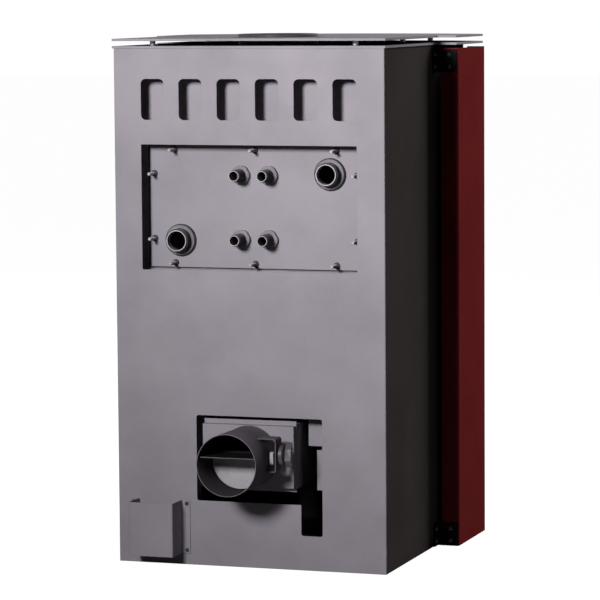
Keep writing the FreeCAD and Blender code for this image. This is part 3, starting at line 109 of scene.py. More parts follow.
def stove_paint(name, colour, worn, rough, peel=0.03):
    """Heat-proof paint sprayed on sheet steel: an even matt skin with a faint orange peel.

    The colour drifts a little over a hand's breadth and the gloss over a finger's.
    The edges are polished lighter.
    """
    material, tree, shader, place = start(name)
    drift = add(tree, "TexNoise", {"Vector": place, "Scale": per_mm(130), "Detail": 3.0, "Roughness": 0.55})
    mottle = add(tree, "TexNoise", {"Vector": place, "Scale": per_mm(7), "Detail": 4.0, "Roughness": 0.6})
    base = linear(colour)
    low = tuple(0.92 * part for part in base[:3]) + (1.0,)
    high = tuple(min(1.0, 1.07 * part) for part in base[:3]) + (1.0,)
    tone = add(tree, "ValToRGB", {"Fac": drift.outputs["Fac"]}, stops=[(0.34, low), (0.66, high)])
    fleck = add(tree, "ValToRGB", {"Fac": mottle.outputs["Fac"]},
                stops=[(0.3, grey(0.965)), (0.7, grey(1.0))])
    skin = add(tree, "Mix", {MIX_BY: 1.0, MIX_A: tone.outputs["Color"], MIX_B: fleck.outputs["Color"]},
               data_type="RGBA", blend_type="MULTIPLY")
    round_edge = add(tree, "Bevel", {"Radius": 1.1 * MM}, samples=4)
    flat = add(tree, "NewGeometry").outputs["Normal"]
    along = add(tree, "VectorMath", {0: round_edge.outputs["Normal"], 1: flat}, operation="DOT_PRODUCT")
    edge = add(tree, "MapRange", {"Value": along.outputs["Value"], FROM_LOW: 0.985, FROM_HIGH: 0.86,
                                  TO_LOW: 0.0, TO_HIGH: 0.55})
    patchy = add(tree, "TexNoise", {"Vector": place, "Scale": per_mm(18), "Detail": 5.0})
    rubbed = add(tree, "Math", {0: edge.outputs["Result"], 1: patchy.outputs["Fac"]}, operation="MULTIPLY")
    finish = add(tree, "Mix", {MIX_BY: rubbed.outputs["Value"], MIX_A: skin.outputs[MIXED],
                               MIX_B: linear(worn)}, data_type="RGBA")
    gloss = add(tree, "MapRange", {"Value": mottle.outputs["Fac"], FROM_LOW: 0.3, FROM_HIGH: 0.7,
                                   TO_LOW: rough - 0.05, TO_HIGH: rough + 0.06})
    pebble = add(tree, "TexNoise", {"Vector": place, "Scale": per_mm(2.6), "Detail": 2.0})
    relief = add(tree, "Bump", {"Height": pebble.outputs["Fac"], "Strength": peel, "Distance": 1.0 * MM})
    tree.links.new(round_edge.outputs["Normal"], relief.inputs["Normal"])
    tree.links.new(finish.outputs[MIXED], shader.inputs["Base Color"])
    tree.links.new(gloss.outputs["Result"], shader.inputs["Roughness"])
    tree.links.new(relief.outputs["Normal"], shader.inputs["Normal"])
    shader.inputs["Specular IOR Level"].default_value = 0.0
    return material


GREY_PAINT = stove_paint("matt_grey_stove_paint", "#99939B", "#A59FA7", 0.5)
DARK_GREY_PAINT = stove_paint("matt_dark_grey_stove_paint", "#645E65", "#7A747B", 0.55)
ANTHRACITE_PAINT = stove_paint("matt_anthracite_stove_paint", "#443E3E", "#5B5555", 0.55)
BORDEAUX_PAINT = stove_paint("matt_bordeaux_stove_paint", "#722627", "#863430", 0.5)
# Painted shade: a darker grey for the inside of the air inlet tube, where the bore lies in shade.
BORE_SHADE_PAINT = stove_paint("painted_bore_shade_stove_paint", "#413D42", "#4A464B", 0.6)
BLACK_PAINT = stove_paint("matt_black_stove_paint", "#1D1C1D", "#3C3B3D", 0.6, peel=0.05)


def mill_steel(name, colour, shade, rough, metal):
    """Steel under a dull skin of scale or zinc: blotched grey, finely scratched along one way."""
    material, tree, shader, place = start(name)
    cloud = add(tree, "TexNoise", {"Vector": place, "Scale": per_mm(45), "Detail": 6.0, "Roughness": 0.62})
    tone = add(tree, "ValToRGB", {"Fac": cloud.outputs["Fac"]},
               stops=[(0.36, linear(shade)), (0.64, linear(colour))])
    stretched = add(tree, "Mapping", {"Vector": place, "Scale": (1.0, 1.0, 0.06)})
    scratch = add(tree, "TexNoise", {"Vector": stretched.outputs["Vector"], "Scale": per_mm(1.6),
                                     "Detail": 4.0})
    gloss = add(tree, "MapRange", {"Value": scratch.outputs["Fac"], FROM_LOW: 0.3, FROM_HIGH: 0.7,
                                   TO_LOW: rough - 0.1, TO_HIGH: rough + 0.12})
    relief = add(tree, "Bump", {"Height": scratch.outputs["Fac"], "Strength": 0.08, "Distance": 0.4 * MM})
    tree.links.new(tone.outputs["Color"], shader.inputs["Base Color"])
    tree.links.new(gloss.outputs["Result"], shader.inputs["Roughness"])
    tree.links.new(relief.outputs["Normal"], shader.inputs["Normal"])
    shader.inputs["Metallic"].default_value = metal
    shader.inputs["Specular IOR Level"].default_value = 0.12
    return material


RAW_STEEL = mill_steel("dull_mill_finish_steel", "#8A868D", "#737076", 0.58, 0.0)
ZINC_PLATE = mill_steel("dull_zinc_plate", "#B4B0B6", "#A39FA5", 0.55, 0.05)
BRIGHT_STEEL = mill_steel("bright_plated_steel", "#ACAAAD", "#918F94", 0.42, 0.6)
BLACKED_STEEL = mill_steel("blacked_steel", "#4B474C", "#3B383C", 0.5, 0.0)
CUT_STEEL = mill_steel("bare_cut_steel", "#BDB9BF", "#AAA6AC", 0.55, 0.05)


def vermiculite_board():
    """Vermiculite pressed with binder: pale gold board, full of small mica flakes that catch the light."""
    material, tree, shader, place = start("pressed_vermiculite_board")
    flake = add(tree, "TexVoronoi", {"Vector": place, "Scale": per_mm(4.5), "Randomness": 1.0})
    tint = add(tree, "ValToRGB", {"Fac": flake.outputs["Color"]},
               stops=[(0.0, linear("#8C7650")), (0.35, linear("#C2AA7C")),
                      (0.7, linear("#D2BE95")), (1.0, linear("#E4D7B8"))])
    cloud = add(tree, "TexNoise", {"Vector": place, "Scale": per_mm(60), "Detail": 4.0})
    stain = add(tree, "ValToRGB", {"Fac": cloud.outputs["Fac"]},
                stops=[(0.35, grey(0.82)), (0.65, grey(1.0))])
    board = add(tree, "Mix", {MIX_BY: 1.0, MIX_A: tint.outputs["Color"], MIX_B: stain.outputs["Color"]},
                data_type="RGBA", blend_type="MULTIPLY")
    glint = add(tree, "MapRange", {"Value": flake.outputs["Distance"], FROM_LOW: 0.0, FROM_HIGH: 0.6,
                                   TO_LOW: 0.55, TO_HIGH: 0.95})
    relief = add(tree, "Bump", {"Height": flake.outputs["Distance"], "Strength": 0.5, "Distance": 0.6 * MM})
    tree.links.new(board.outputs[MIXED], shader.inputs["Base Color"])
    tree.links.new(glint.outputs["Result"], shader.inputs["Roughness"])
    tree.links.new(relief.outputs["Normal"], shader.inputs["Normal"])
    return material


VERMICULITE = vermiculite_board()


def moulded_thermoset():
    """Black phenolic moulding, a little dusty: half-gloss, with a fine flow grain.

    A flat that is turned to the lamp shines grey.
    """
    material, tree, shader, place = start("black_phenolic_moulding")
    grain = add(tree, "TexNoise", {"Vector": place, "Scale": per_mm(3), "Detail": 3.0})
    tone = add(tree, "ValToRGB", {"Fac": grain.outputs["Fac"]},
               stops=[(0.35, linear("#342F35")), (0.65, linear("#3E383F"))])
    gloss = add(tree, "MapRange", {"Value": grain.outputs["Fac"], FROM_LOW: 0.3, FROM_HIGH: 0.7,
                                   TO_LOW: 0.4, TO_HIGH: 0.5})
    relief = add(tree, "Bump", {"Height": grain.outputs["Fac"], "Strength": 0.05, "Distance": 0.4 * MM})
    tree.links.new(tone.outputs["Color"], shader.inputs["Base Color"])
    tree.links.new(gloss.outputs["Result"], shader.inputs["Roughness"])
    tree.links.new(relief.outputs["Normal"], shader.inputs["Normal"])
    return material


BLACK_PLASTIC = moulded_thermoset()


def sand_cast_iron():
    """Grey iron cast in sand: near black, rough with the sand's grain, a little shiny on its high spots."""
    material, tree, shader, place = start("sand_cast_iron")
    grain = add(tree, "TexNoise", {"Vector": place, "Scale": per_mm(2.5), "Detail": 6.0, "Roughness": 0.65})
    cloud = add(tree, "TexNoise", {"Vector": place, "Scale": per_mm(40), "Detail": 3.0})
    tone = add(tree, "ValToRGB", {"Fac": cloud.outputs["Fac"]},
               stops=[(0.35, linear("#2A2928")), (0.65, linear("#3B3938"))])
    gloss = add(tree, "MapRange", {"Value": grain.outputs["Fac"], FROM_LOW: 0.3, FROM_HIGH: 0.7,
                                   TO_LOW: 0.75, TO_HIGH: 0.5})
    relief = add(tree, "Bump", {"Height": grain.outputs["Fac"], "Strength": 0.6, "Distance": 0.7 * MM})
    tree.links.new(tone.outputs["Color"], shader.inputs["Base Color"])
    tree.links.new(gloss.outputs["Result"], shader.inputs["Roughness"])
    tree.links.new(relief.outputs["Normal"], shader.inputs["Normal"])
    shader.inputs["Metallic"].default_value = 0.35
    return material


CAST_IRON = sand_cast_iron()


def stove_glass():
    """Clear glass ceramic, faintly amber, with a slight wipe haze."""
    material, tree, shader, place = start("clear_glass_ceramic")
    haze = add(tree, "TexNoise", {"Vector": place, "Scale": per_mm(90), "Detail": 4.0})
    gloss = add(tree, "MapRange", {"Value": haze.outputs["Fac"], FROM_LOW: 0.4, FROM_HIGH: 0.7,
                                   TO_LOW: 0.0, TO_HIGH: 0.06})
    tint = add(tree, "ValToRGB", {"Fac": haze.outputs["Fac"]},
               stops=[(0.35, linear("#F4EDE0")), (0.65, linear("#F9F5EC"))])
    tree.links.new(tint.outputs["Color"], shader.inputs["Base Color"])
    tree.links.new(gloss.outputs["Result"], shader.inputs["Roughness"])
    shader.inputs["Transmission Weight"].default_value = 1.0
    shader.inputs["IOR"].default_value = 1.54
    return material


STOVE_GLASS = stove_glass()


def glass_fibre_rope():
    """Knitted glass-fibre rope, graphite grey: matt, with fine yarn across the lay."""
    material, tree, shader, place = start("knitted_glass_fibre_rope")
    yarn = add(tree, "TexNoise", {"Vector": place, "Scale": per_mm(1.8), "Detail": 4.0, "Roughness": 0.7})
    tone = add(tree, "ValToRGB", {"Fac": yarn.outputs["Fac"]},
               stops=[(0.3, linear("#2E2C2A")), (0.7, linear("#6B6762"))])
    relief = add(tree, "Bump", {"Height": yarn.outputs["Fac"], "Strength": 0.7, "Distance": 0.8 * MM})
    tree.links.new(tone.outputs["Color"], shader.inputs["Base Color"])
    tree.links.new(relief.outputs["Normal"], shader.inputs["Normal"])
    shader.inputs["Roughness"].default_value = 0.95
    shader.inputs["Sheen Weight"].default_value = 0.3
    return material


ROPE_SEAL = glass_fibre_rope()

FINISHES = {
    "grey_paint": GREY_PAINT, "anthracite_paint": ANTHRACITE_PAINT, "bordeaux_paint": BORDEAUX_PAINT,
    "black_paint": BLACK_PAINT, "black_plastic": BLACK_PLASTIC, "raw_steel": RAW_STEEL,
    "bright_steel": BRIGHT_STEEL, "stove_glass": STOVE_GLASS, "vermiculite": VERMICULITE,
    "cast_iron": CAST_IRON, "rope_seal": ROPE_SEAL,
}


def dress(piece, material):
    """Put one material on a piece in place of any it has."""
    piece.data.materials.clear()
    piece.data.materials.append(material)


SLOTS = {row["node"]: row["material_slot"] for row in frame["record"]["subparts"]}
for node, slot in SLOTS.items():
    dress(NODES[node], FINISHES[slot])
dress(NODES["damper_blade"], ZINC_PLATE)
dress(NODES["damper_bracket"], DARK_GREY_PAINT)


# Modelling. SEAM joins vertices, and degrees past CREASE stay sharp and within FLAT are one face.

SEAM = 0.002 * MM
CREASE, FLAT = 35, 0.5


def take(*pieces):
    """Select these pieces alone, the first of them active."""
    bpy.ops.object.select_all(action="DESELECT")
    for piece in pieces:
        piece.select_set(True)
    if pieces:
        bpy.context.view_layer.objects.active = pieces[0]


def wire(name, points):
    """Loose edges, left in edit mode: one vertex pulled on from point to point."""
    take()
    bpy.ops.mesh.primitive_plane_add(size=MM)
    piece = bpy.context.object
    piece.name = piece.data.name = name
    bpy.ops.object.mode_set(mode="EDIT")
    bpy.ops.mesh.merge(type="CENTER")
    bpy.ops.transform.translate(value=points[0])
    for before, after in zip(points, points[1:]):
        bpy.ops.mesh.extrude_region_move(TRANSFORM_OT_translate={"value": after - before})
    bpy.ops.mesh.select_all(action="SELECT")
    bpy.ops.mesh.remove_doubles(threshold=SEAM)
    return piece


def close_up(crease=CREASE):
    """Merge the seams of the piece in hand, turn its faces outwards and smooth it up to a crease angle."""
    bpy.ops.mesh.select_all(action="SELECT")
    bpy.ops.mesh.remove_doubles(threshold=SEAM)
    bpy.ops.mesh.normals_make_consistent(inside=False)
    bpy.ops.object.mode_set(mode="OBJECT")
    bpy.ops.object.shade_smooth_by_angle(angle=math.radians(crease))


def turned(name, profile, foot=(0, 0, 0), way=(0, 1, 0), steps=48):
    """Piece turned on a lathe, from (length, radius) points in mm along an axis."""
    foot, way = MM * Vector(foot), Vector(way)
    side = Vector((1, 0, 0)) if abs(way.z) > 0.5 else Vector((0, 0, 1))
    piece = wire(name, [foot + MM * (length * way + radius * side) for length, radius in profile])
    bpy.ops.mesh.spin(steps=steps, angle=math.tau, center=foot, axis=way)
    close_up()
    return piece


def apply_modifier(piece, kind, **settings):
    """Add one modifier to a piece and apply it."""
    take(piece)
    modifier = piece.modifiers.new(kind.lower(), kind)
    for name, value in settings.items():
        setattr(modifier, name, value)
    bpy.ops.object.modifier_apply(modifier=modifier.name)


def carve(piece, tool, operation="DIFFERENCE"):
    """Cut a piece by a tool, which is then thrown away."""
    apply_modifier(piece, "BOOLEAN", object=tool, operation=operation, solver="EXACT")
    bpy.data.objects.remove(tool)
    bpy.ops.object.shade_smooth_by_angle(angle=math.radians(CREASE))


def join(name, *pieces):
    """Make one piece of several."""
    take(*pieces)
    bpy.ops.object.join()
    pieces[0].name = pieces[0].data.name = name
    return pieces[0]


def set_out(name, model, stations):
    """Copies of a model, which stands on the origin along +y, at (foot, way) stations, as one piece."""
    made = []
    for foot, way in stations:
        take(model)
        bpy.ops.object.duplicate(linked=False)
        copy = bpy.context.object
        copy.location = MM * Vector(foot)
        copy.rotation_euler = Vector(way).to_track_quat("Y", "Z").to_euler()
        made.append(copy)
    bpy.data.objects.remove(model)
    take(*made)
    bpy.ops.object.transform_apply(location=True, rotation=True, scale=False)
    return join(name, *made)


def fit(piece, body, slot, *nodes):
    """Give a piece its finish, the body that it rides on and the nodes that it stands for."""
    dress(piece, FINISHES[slot])
    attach(piece, body)
    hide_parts(*nodes)


def bare_and_highlit_faces(piece, way, least, finish=CUT_STEEL):
    """Give the faces towards a way, past a least place along it in mm, another finish."""
    # Every use turns these faces to the key lamp behind the stove: the lighter finish there is partly bare
    # cut steel and partly painted highlight.
    piece.data.materials.append(finish)
    way = Vector(way)
    for face in piece.data.polygons:
        if face.normal.dot(way) > 0.9 and face.center.dot(way) > least * MM:
            face.material_index = len(piece.data.materials) - 1


def paint_bores(piece, feet, way, reach, finish, least=0):
    """Finish the inside of pipes that stand on feet along a way.

    It reaches so far from their axes, and starts past a least length along them, in mm. Its uses paint shade
    into bores: black deep inside, and steel again near a mouth.
    """
    piece.data.materials.append(finish)
    way = Vector(way)
    for face in piece.data.polygons:
        for foot in feet:
            arm = face.center - MM * Vector(foot)
            length = arm.dot(way)
            arm -= length * way
            if arm.length < reach * MM and face.normal.dot(arm) < 0 and length > least * MM:
                face.material_index = len(piece.data.materials) - 1


def bench_copy(node, name):
    """Copy of a node's mesh with its doubles merged, left in edit mode."""
    piece = bpy.data.objects.new(name, NODES[node].data.copy())
    bpy.context.scene.collection.objects.link(piece)
    take(piece)
    bpy.ops.object.mode_set(mode="EDIT")
    bpy.ops.mesh.select_all(action="SELECT")
    bpy.ops.mesh.remove_doubles(threshold=SEAM)
    return piece


def softened(node, body, name, width):
    """Copy of a node with its sharp edges rounded, in the node's place."""
    piece = bench_copy(node, name)
    bpy.ops.mesh.dissolve_limited(angle_limit=math.radians(FLAT))
    close_up()
    apply_modifier(piece, "BEVEL", width=width * MM, segments=2,
                   limit_method="ANGLE", angle_limit=math.radians(40))
    bpy.ops.object.shade_smooth_by_angle(angle=math.radians(CREASE))
    fit(piece, body, SLOTS[node], node)
    return piece


def cap_ends(sides):
    """Close the open ends, of so many sides each, of the piece in hand, which is left in edit mode."""
    bpy.ops.object.mode_set(mode="EDIT")
    bpy.ops.mesh.select_all(action="DESELECT")
    bpy.ops.mesh.select_mode(type="EDGE")
    bpy.ops.mesh.select_non_manifold()
    bpy.ops.mesh.fill_holes(sides=sides)
    bpy.ops.mesh.select_mode(type="VERT")


def thread(name, crest, root, pitch, start, length, steps=32):
    """Helical ridge round the y axis, as one closed band, a little under a pitch wide."""
    wide = 0.42 * pitch
    piece = wire(name, [MM * Vector((radius, start + wide + step, 0)) for step, radius in (
        (-wide, root), (0, crest), (wide, root), (-wide, root))])
    bpy.ops.object.mode_set(mode="OBJECT")
    apply_modifier(piece, "SCREW", axis="Y", screw_offset=pitch * MM, iterations=int(length / pitch - 1),
                   steps=steps, render_steps=steps)
    cap_ends(4)
    close_up()
    return piece


def hexagon_nut(name, flats, height, bore, corner_gap=0.2):
    """Bored hexagon nut with its corners turned off at both ends, corners left and right.

    A corner gap below nothing turns the corners round over the whole height.
    """
    corner, spare = flats / math.sqrt(3), 1
    turns = [math.radians(60 * number) for number in range(7)]
    piece = wire(name, [MM * Vector((corner * math.cos(turn), -spare, corner * math.sin(turn)))
                        for turn in turns])
    bpy.ops.mesh.edge_face_add()
    bpy.ops.mesh.extrude_region_move(TRANSFORM_OT_translate={"value": (0, MM * (height + 2 * spare), 0)})
    close_up()
    end, full = 0.475 * flats, corner + corner_gap
    slope = (full - end) * math.tan(math.radians(30))
    relief = 0.08 * bore
    barrel = turned("barrel", [
        (0, bore + relief), (0, end), (slope, full), (height - slope, full), (height, end),
        (height, bore + relief), (height - relief, bore), (relief, bore), (0, bore + relief)])
    carve(piece, barrel, "INTERSECT")
    return piece


# Boiler connections. COVER is the cover plate's outer face and BOILER_Z its middle.
# A loop's ends stand LOOP_Z above and below that and reach LOOP_END, and it bends from LOOP_STRAIGHT on.

REAR, UP = (0, 1, 0), (0, 0, 1)
COVER, BOILER_Z = 211, 639
WATER_STUBS = (("flow_stub", -140, 699), ("return_stub", 140, 579))
STUB_END, STUB_BORE = 238, 16.7
LOOP_X, LOOP_Z = 26, 57
LOOP_END, LOOP_STRAIGHT, LOOP_BEND = 252, 181, 22


def water_stubs():
    """Flow and return stubs: turned pipes with a 1 1/4 inch pipe thread on their free ends."""
    for node, x, z in WATER_STUBS:
        pipe = turned("pipe", [
            (206, 16.5), (206, 20.6), (217.6, 20.6), (218.6, 19.5), (236.6, 19.5), (STUB_END, 18.7),
            (STUB_END, 17.2), (237.3, 16.5), (224, 16.5), (206, 16.5)], steps=64)
        ridge = thread("ridge", 20.95, 19.3, 2.309, 218.4, 18.6, steps=48)
        stub = set_out(node + "_threaded", join("stub", pipe, ridge), [((x, 0, z), REAR)])
        fit(stub, "casing", "raw_steel", node)
        dress(stub, BLACKED_STEEL)
        # The end face turned to the key lamp is lighter than the blacked pipe: partly the bare cut end,
        # partly painted highlight.
        bare_and_highlit_faces(stub, REAR, STUB_END - 0.5)
        # Painted shade: the bores are black deep inside, and steel-coloured again near their mouths.
        paint_bores(stub, [(x, 0, z)], REAR, STUB_BORE, BLACK_PAINT)
        paint_bores(stub, [(x, 0, z)], REAR, STUB_BORE, RAW_STEEL, 224)


def collars():
    """Turned collars round the water stubs, with a wide chamfer and a soft outer edge."""
    ring = turned("ring", [
        (COVER, 20.7), (COVER, 28.3), (211.3, 28.5), (215.9, 28.5), (217.6, 26.9), (218, 26.5),
        (218, 21.0), (217.7, 20.7), (COVER, 20.7)], steps=64)
    pair = set_out("turned_stub_collars", ring, [((x, 0, z), REAR) for _, x, z in WATER_STUBS])
    fit(pair, "casing", "raw_steel", "stub_collars")
    dress(pair, BLACKED_STEEL)
    # The face turned to the key lamp is lighter than the blacked sides: partly bare turned steel, partly
    # painted highlight.
    bare_and_highlit_faces(pair, REAR, 217, RAW_STEEL)


def loop_nuts():
    """Four chamfered hexagon nuts that lock the cooling loops to the cover plate."""
    nut = hexagon_nut("nut", 33, 8, 10.4, corner_gap=-1.9)
    stations = [((x, COVER, BOILER_Z + z), REAR) for x in (-LOOP_X, LOOP_X) for z in (-LOOP_Z, LOOP_Z)]
    fit(set_out("chamfered_lock_nuts", nut, stations), "casing", "raw_steel", "loop_lock_nuts")


def cooling_loops():
    """Two pipes bent to a U in the tank, with half-inch pipe threads on the ends that come out."""
    for node, x in (("cooling_loop_left", -LOOP_X), ("cooling_loop_right", LOOP_X)):
        take()
        bpy.ops.mesh.primitive_circle_add(vertices=32, radius=8.85 * MM, rotation=(math.pi / 2, 0, 0),
                                          location=MM * Vector((x, LOOP_END, BOILER_Z + LOOP_Z)))
        pipe = bpy.context.object
        pipe.name = pipe.data.name = "bent_pipe"
        bpy.ops.object.transform_apply(location=True, rotation=True)
        bpy.ops.object.mode_set(mode="EDIT")
        leg, drop = LOOP_END - LOOP_STRAIGHT, 2 * LOOP_Z - 2 * LOOP_BEND
        bpy.ops.mesh.extrude_region_move(TRANSFORM_OT_translate={"value": (0, -leg * MM, 0)})
        bpy.ops.mesh.spin(steps=8, angle=math.pi / 2, axis=(-1, 0, 0),
                          center=MM * Vector((x, LOOP_STRAIGHT, BOILER_Z + LOOP_Z - LOOP_BEND)))
        bpy.ops.mesh.extrude_region_move(TRANSFORM_OT_translate={"value": (0, 0, -drop * MM)})
        bpy.ops.mesh.spin(steps=8, angle=math.pi / 2, axis=(-1, 0, 0),
                          center=MM * Vector((x, LOOP_STRAIGHT, BOILER_Z - LOOP_Z + LOOP_BEND)))
        bpy.ops.mesh.extrude_region_move(TRANSFORM_OT_translate={"value": (0, leg * MM, 0)})
        close_up()
        apply_modifier(pipe, "SOLIDIFY", thickness=1.3 * MM, offset=0)
        ridge = thread("ridge", 10.6, 9.4, 1.814, 219.5, 31.5)
        ridges = set_out("ridges", ridge, [((x, 0, BOILER_Z + z), REAR) for z in (-LOOP_Z, LOOP_Z)])
        loop = join(node + "_threaded", pipe, ridges)
        fit(loop, "casing", "raw_steel", node)
        dress(loop, BLACKED_STEEL)
        # The ends turned to the key lamp are lighter: partly bare cut ends, partly painted highlight.
        bare_and_highlit_faces(loop, REAR, LOOP_END - 1)
        # Painted shade: the bores of the loop ends are black.
        paint_bores(loop, [(x, 0, BOILER_Z + z) for z in (-LOOP_Z, LOOP_Z)], REAR, 8.5, BLACK_PAINT)


def cover_studs():
    """Ten studs with threads, washers and chamfered nuts that hold the cover plate, bright past the nuts."""
    past_nut = 5.2
    stud = turned("stud", [(-11, 0), (-11, 2.4), (-10.4, 2.75), (29.2, 2.75), (30, 2.1), (30, 0)], steps=24)
    ridge = thread("ridge", 3.0, 2.6, 1.0, past_nut, 24.4, steps=18)
    washer = turned("washer", [(0, 3.1), (0, 6.0), (0.9, 6.0), (1.1, 5.8), (1.1, 3.1), (0, 3.1)], steps=32)
    nut = set_out("seated_nut", hexagon_nut("nut", 10, 3.9, 3.1), [((0, 1.1, 0), REAR)])
    places = [(x, BOILER_Z + z) for x in (-151, 0, 151) for z in (-100.75, 100.75)]
    places += [(x, BOILER_Z + z) for x in (-190, 190) for z in (-58, 58)]
    row = set_out("cover_studs_and_nuts", join("stud", stud, ridge, washer, nut),
                  [((x, COVER, z), REAR) for x, z in places])
    fit(row, "casing", "raw_steel", "boiler_bolts")
    dress(row, BLACKED_STEEL)
    row.data.materials.append(ZINC_PLATE)
    for face in row.data.polygons:
        if face.center.y > (COVER + past_nut) * MM:
            face.material_index = len(row.data.materials) - 1


water_stubs()
collars()
loop_nuts()
cooling_loops()
cover_studs()
softened("boiler_gasket", "casing", "pressed_fibre_seal", 0.5)


# Screws, spacers, flue and air inlet

LOWER_PLATE_TOP = 924
FLUE_FOOT, FLUE_TOP = (0, 80, 0), 943
INLET_FOOT = (0, 0, 201)
AXLE_Y, AXLE_Z = 303.5, 213


def pan_screws():
    """Pan-head screws with a cross recess, in the wing brackets and the hat-section bracket."""
    screw = turned("screw", [
        (-8, 0), (-7, 1.2), (-6, 1.8), (0, 1.8), (0, 3.6), (0.6, 3.6), (1.3, 3.1), (1.8, 2.1),
        (2, 0.9), (2, 0)], steps=32)
    for turn in (0, 90):
        take()
        bpy.ops.mesh.primitive_cube_add(size=MM, location=(0, 2 * MM, 0), scale=(3.6, 2.2, 0.8),
                                        rotation=(0, math.radians(turn), 0))
        carve(screw, bpy.context.object)
    stations = [((x, 250.5, z), REAR) for x in (120.5, 222.5) for z in (26, 110)]
    for side in (-1, 1):
        for z in (10, 32, 880, 902):
            stations += [((277.5 * side, -66, z), REAR), ((254 * side, -55.5, z), (side, 0, 0))]
    screws = set_out("pan_head_screws", screw, stations)
    fit(screws, "casing", "raw_steel", "casing_screws")
    dress(screws, BLACKED_STEEL)


def plate_spacers():
    """Turned spacers with broken edges between the two top plates."""
    spacer = turned("spacer", [(0, 0), (0, 4.4), (0.6, 5), (8.4, 5), (9, 4.4), (9, 0)], steps=32)
    stations = [((x, y, LOWER_PLATE_TOP), UP) for x in (-189, 189) for y in (216, -69, -249)]
    fit(set_out("turned_spacers", spacer, stations), "casing", "bright_steel", "top_plate_spacers")


def flue_socket():
    """Turned flue socket with broken edges at its mouth, which stands a little above the upper plate."""
    socket = turned("turned_flue_socket", [
        (880, 65.3), (880, 71.8), (942.2, 71.8), (FLUE_TOP, 71), (FLUE_TOP, 66.5), (942, 65.3), (880, 65.3)],
        foot=FLUE_FOOT, way=UP, steps=96)
    fit(socket, "casing", "raw_steel", "flue_collar")
    dress(socket, BLACKED_STEEL)
    # Painted shade: the bore of the socket is black.
    paint_bores(socket, [FLUE_FOOT], UP, 66, BLACK_PAINT)


def inlet_tube():
    """Air inlet tube: a weld bead at its foot, drawn a little wider to its free end, drilled for the axle."""
    tube = turned("welded_inlet_tube", [
        (255, 52.7), (255, 54.6), (255.6, 54.4), (256.4, 53.8), (257.4, 53.5), (297.5, 54.01), (309.5, 54.16),
        (375.7, 55), (376, 54.8), (376, 53.9), (375.7, 53.7), (309.5, 53.15), (297.5, 53.05), (255, 52.7)],
        foot=INLET_FOOT, steps=96)
    drill = turned("drill", [(-70, 0), (-70, 4.25), (70, 4.25), (70, 0)],
                   foot=(0, AXLE_Y, AXLE_Z), way=(1, 0, 0), steps=32)
    carve(tube, drill)
    fit(tube, "casing", "grey_paint", "air_inlet_tube")
    dress(tube, DARK_GREY_PAINT)
    # Painted shade: the inside of the tube is darker than its outside.
    paint_bores(tube, [INLET_FOOT], REAR, 54, BORE_SHADE_PAINT)
    # The rim turned to the key lamp is lighter than the tube: partly the bare cut rim, partly painted
    # highlight.
    bare_and_highlit_faces(tube, REAR, 375, RAW_STEEL)


def damper_grip():
    """Moulded bar knob with sloped ends, pressed on the axle before a thick washer."""
    left = (-1, 0, 0)
    outline = [(3.2, 10), (-5.6, 21.4), (-6.5, 22), (-6.5, -22), (-5.6, -21.4), (6.5, -10), (3.2, 10)]
    grip = wire("grip", [MM * Vector((-83.6, AXLE_Y + y, AXLE_Z + z)) for y, z in outline])
    bpy.ops.mesh.edge_face_add()
    bpy.ops.mesh.extrude_region_move(TRANSFORM_OT_translate={"value": (-12 * MM, 0, 0)})
    close_up()
    apply_modifier(grip, "BEVEL", width=1.4 * MM, segments=3,
                   limit_method="ANGLE", angle_limit=math.radians(20))
    end = (-82.6, AXLE_Y, AXLE_Z)
    drill = turned("drill", [(-1, 0), (-1, 4), (7.1, 4), (7.1, 0)], foot=end, way=left, steps=32)
    carve(grip, drill)
    neck = turned("neck", [(0, 4), (0, 6), (1.2, 6), (1.2, 4), (0, 4)], foot=end, way=left, steps=32)
    fit(join("bar_grip", grip, neck), "damper", "black_plastic", "damper_knob")
    disc = turned("disc", [(0, 4), (0, 16.6), (0.8, 17.4), (6.2, 17.4), (7, 16.6), (7, 4), (0, 4)], steps=64)
    fit(set_out("thick_washer", disc, [((-75.6, AXLE_Y, AXLE_Z), left)]),
        "damper", "black_plastic", "damper_washer")


pan_screws()
plate_spacers()
flue_socket()
inlet_tube()
damper_grip()
dress(softened("damper_arm", "damper", "rounded_stop_arm", 0.8), ZINC_PLATE)
# Painted highlight: the black splitter's edge that is turned to the key lamp is dark grey.
bare_and_highlit_faces(softened("inlet_splitter", "casing", "sheared_splitter_plate", 0.2), REAR, 367, DARK_GREY_PAINT)


# Door, drawer and air slides. BOW_Y is the axis of the bowed front, and KNOB_Y the face the knobs stand on.

BOW_Y, KNOB_Y = 176.45, -327
FRONT, DOWN = (0, -1, 0), (0, 0, -1)


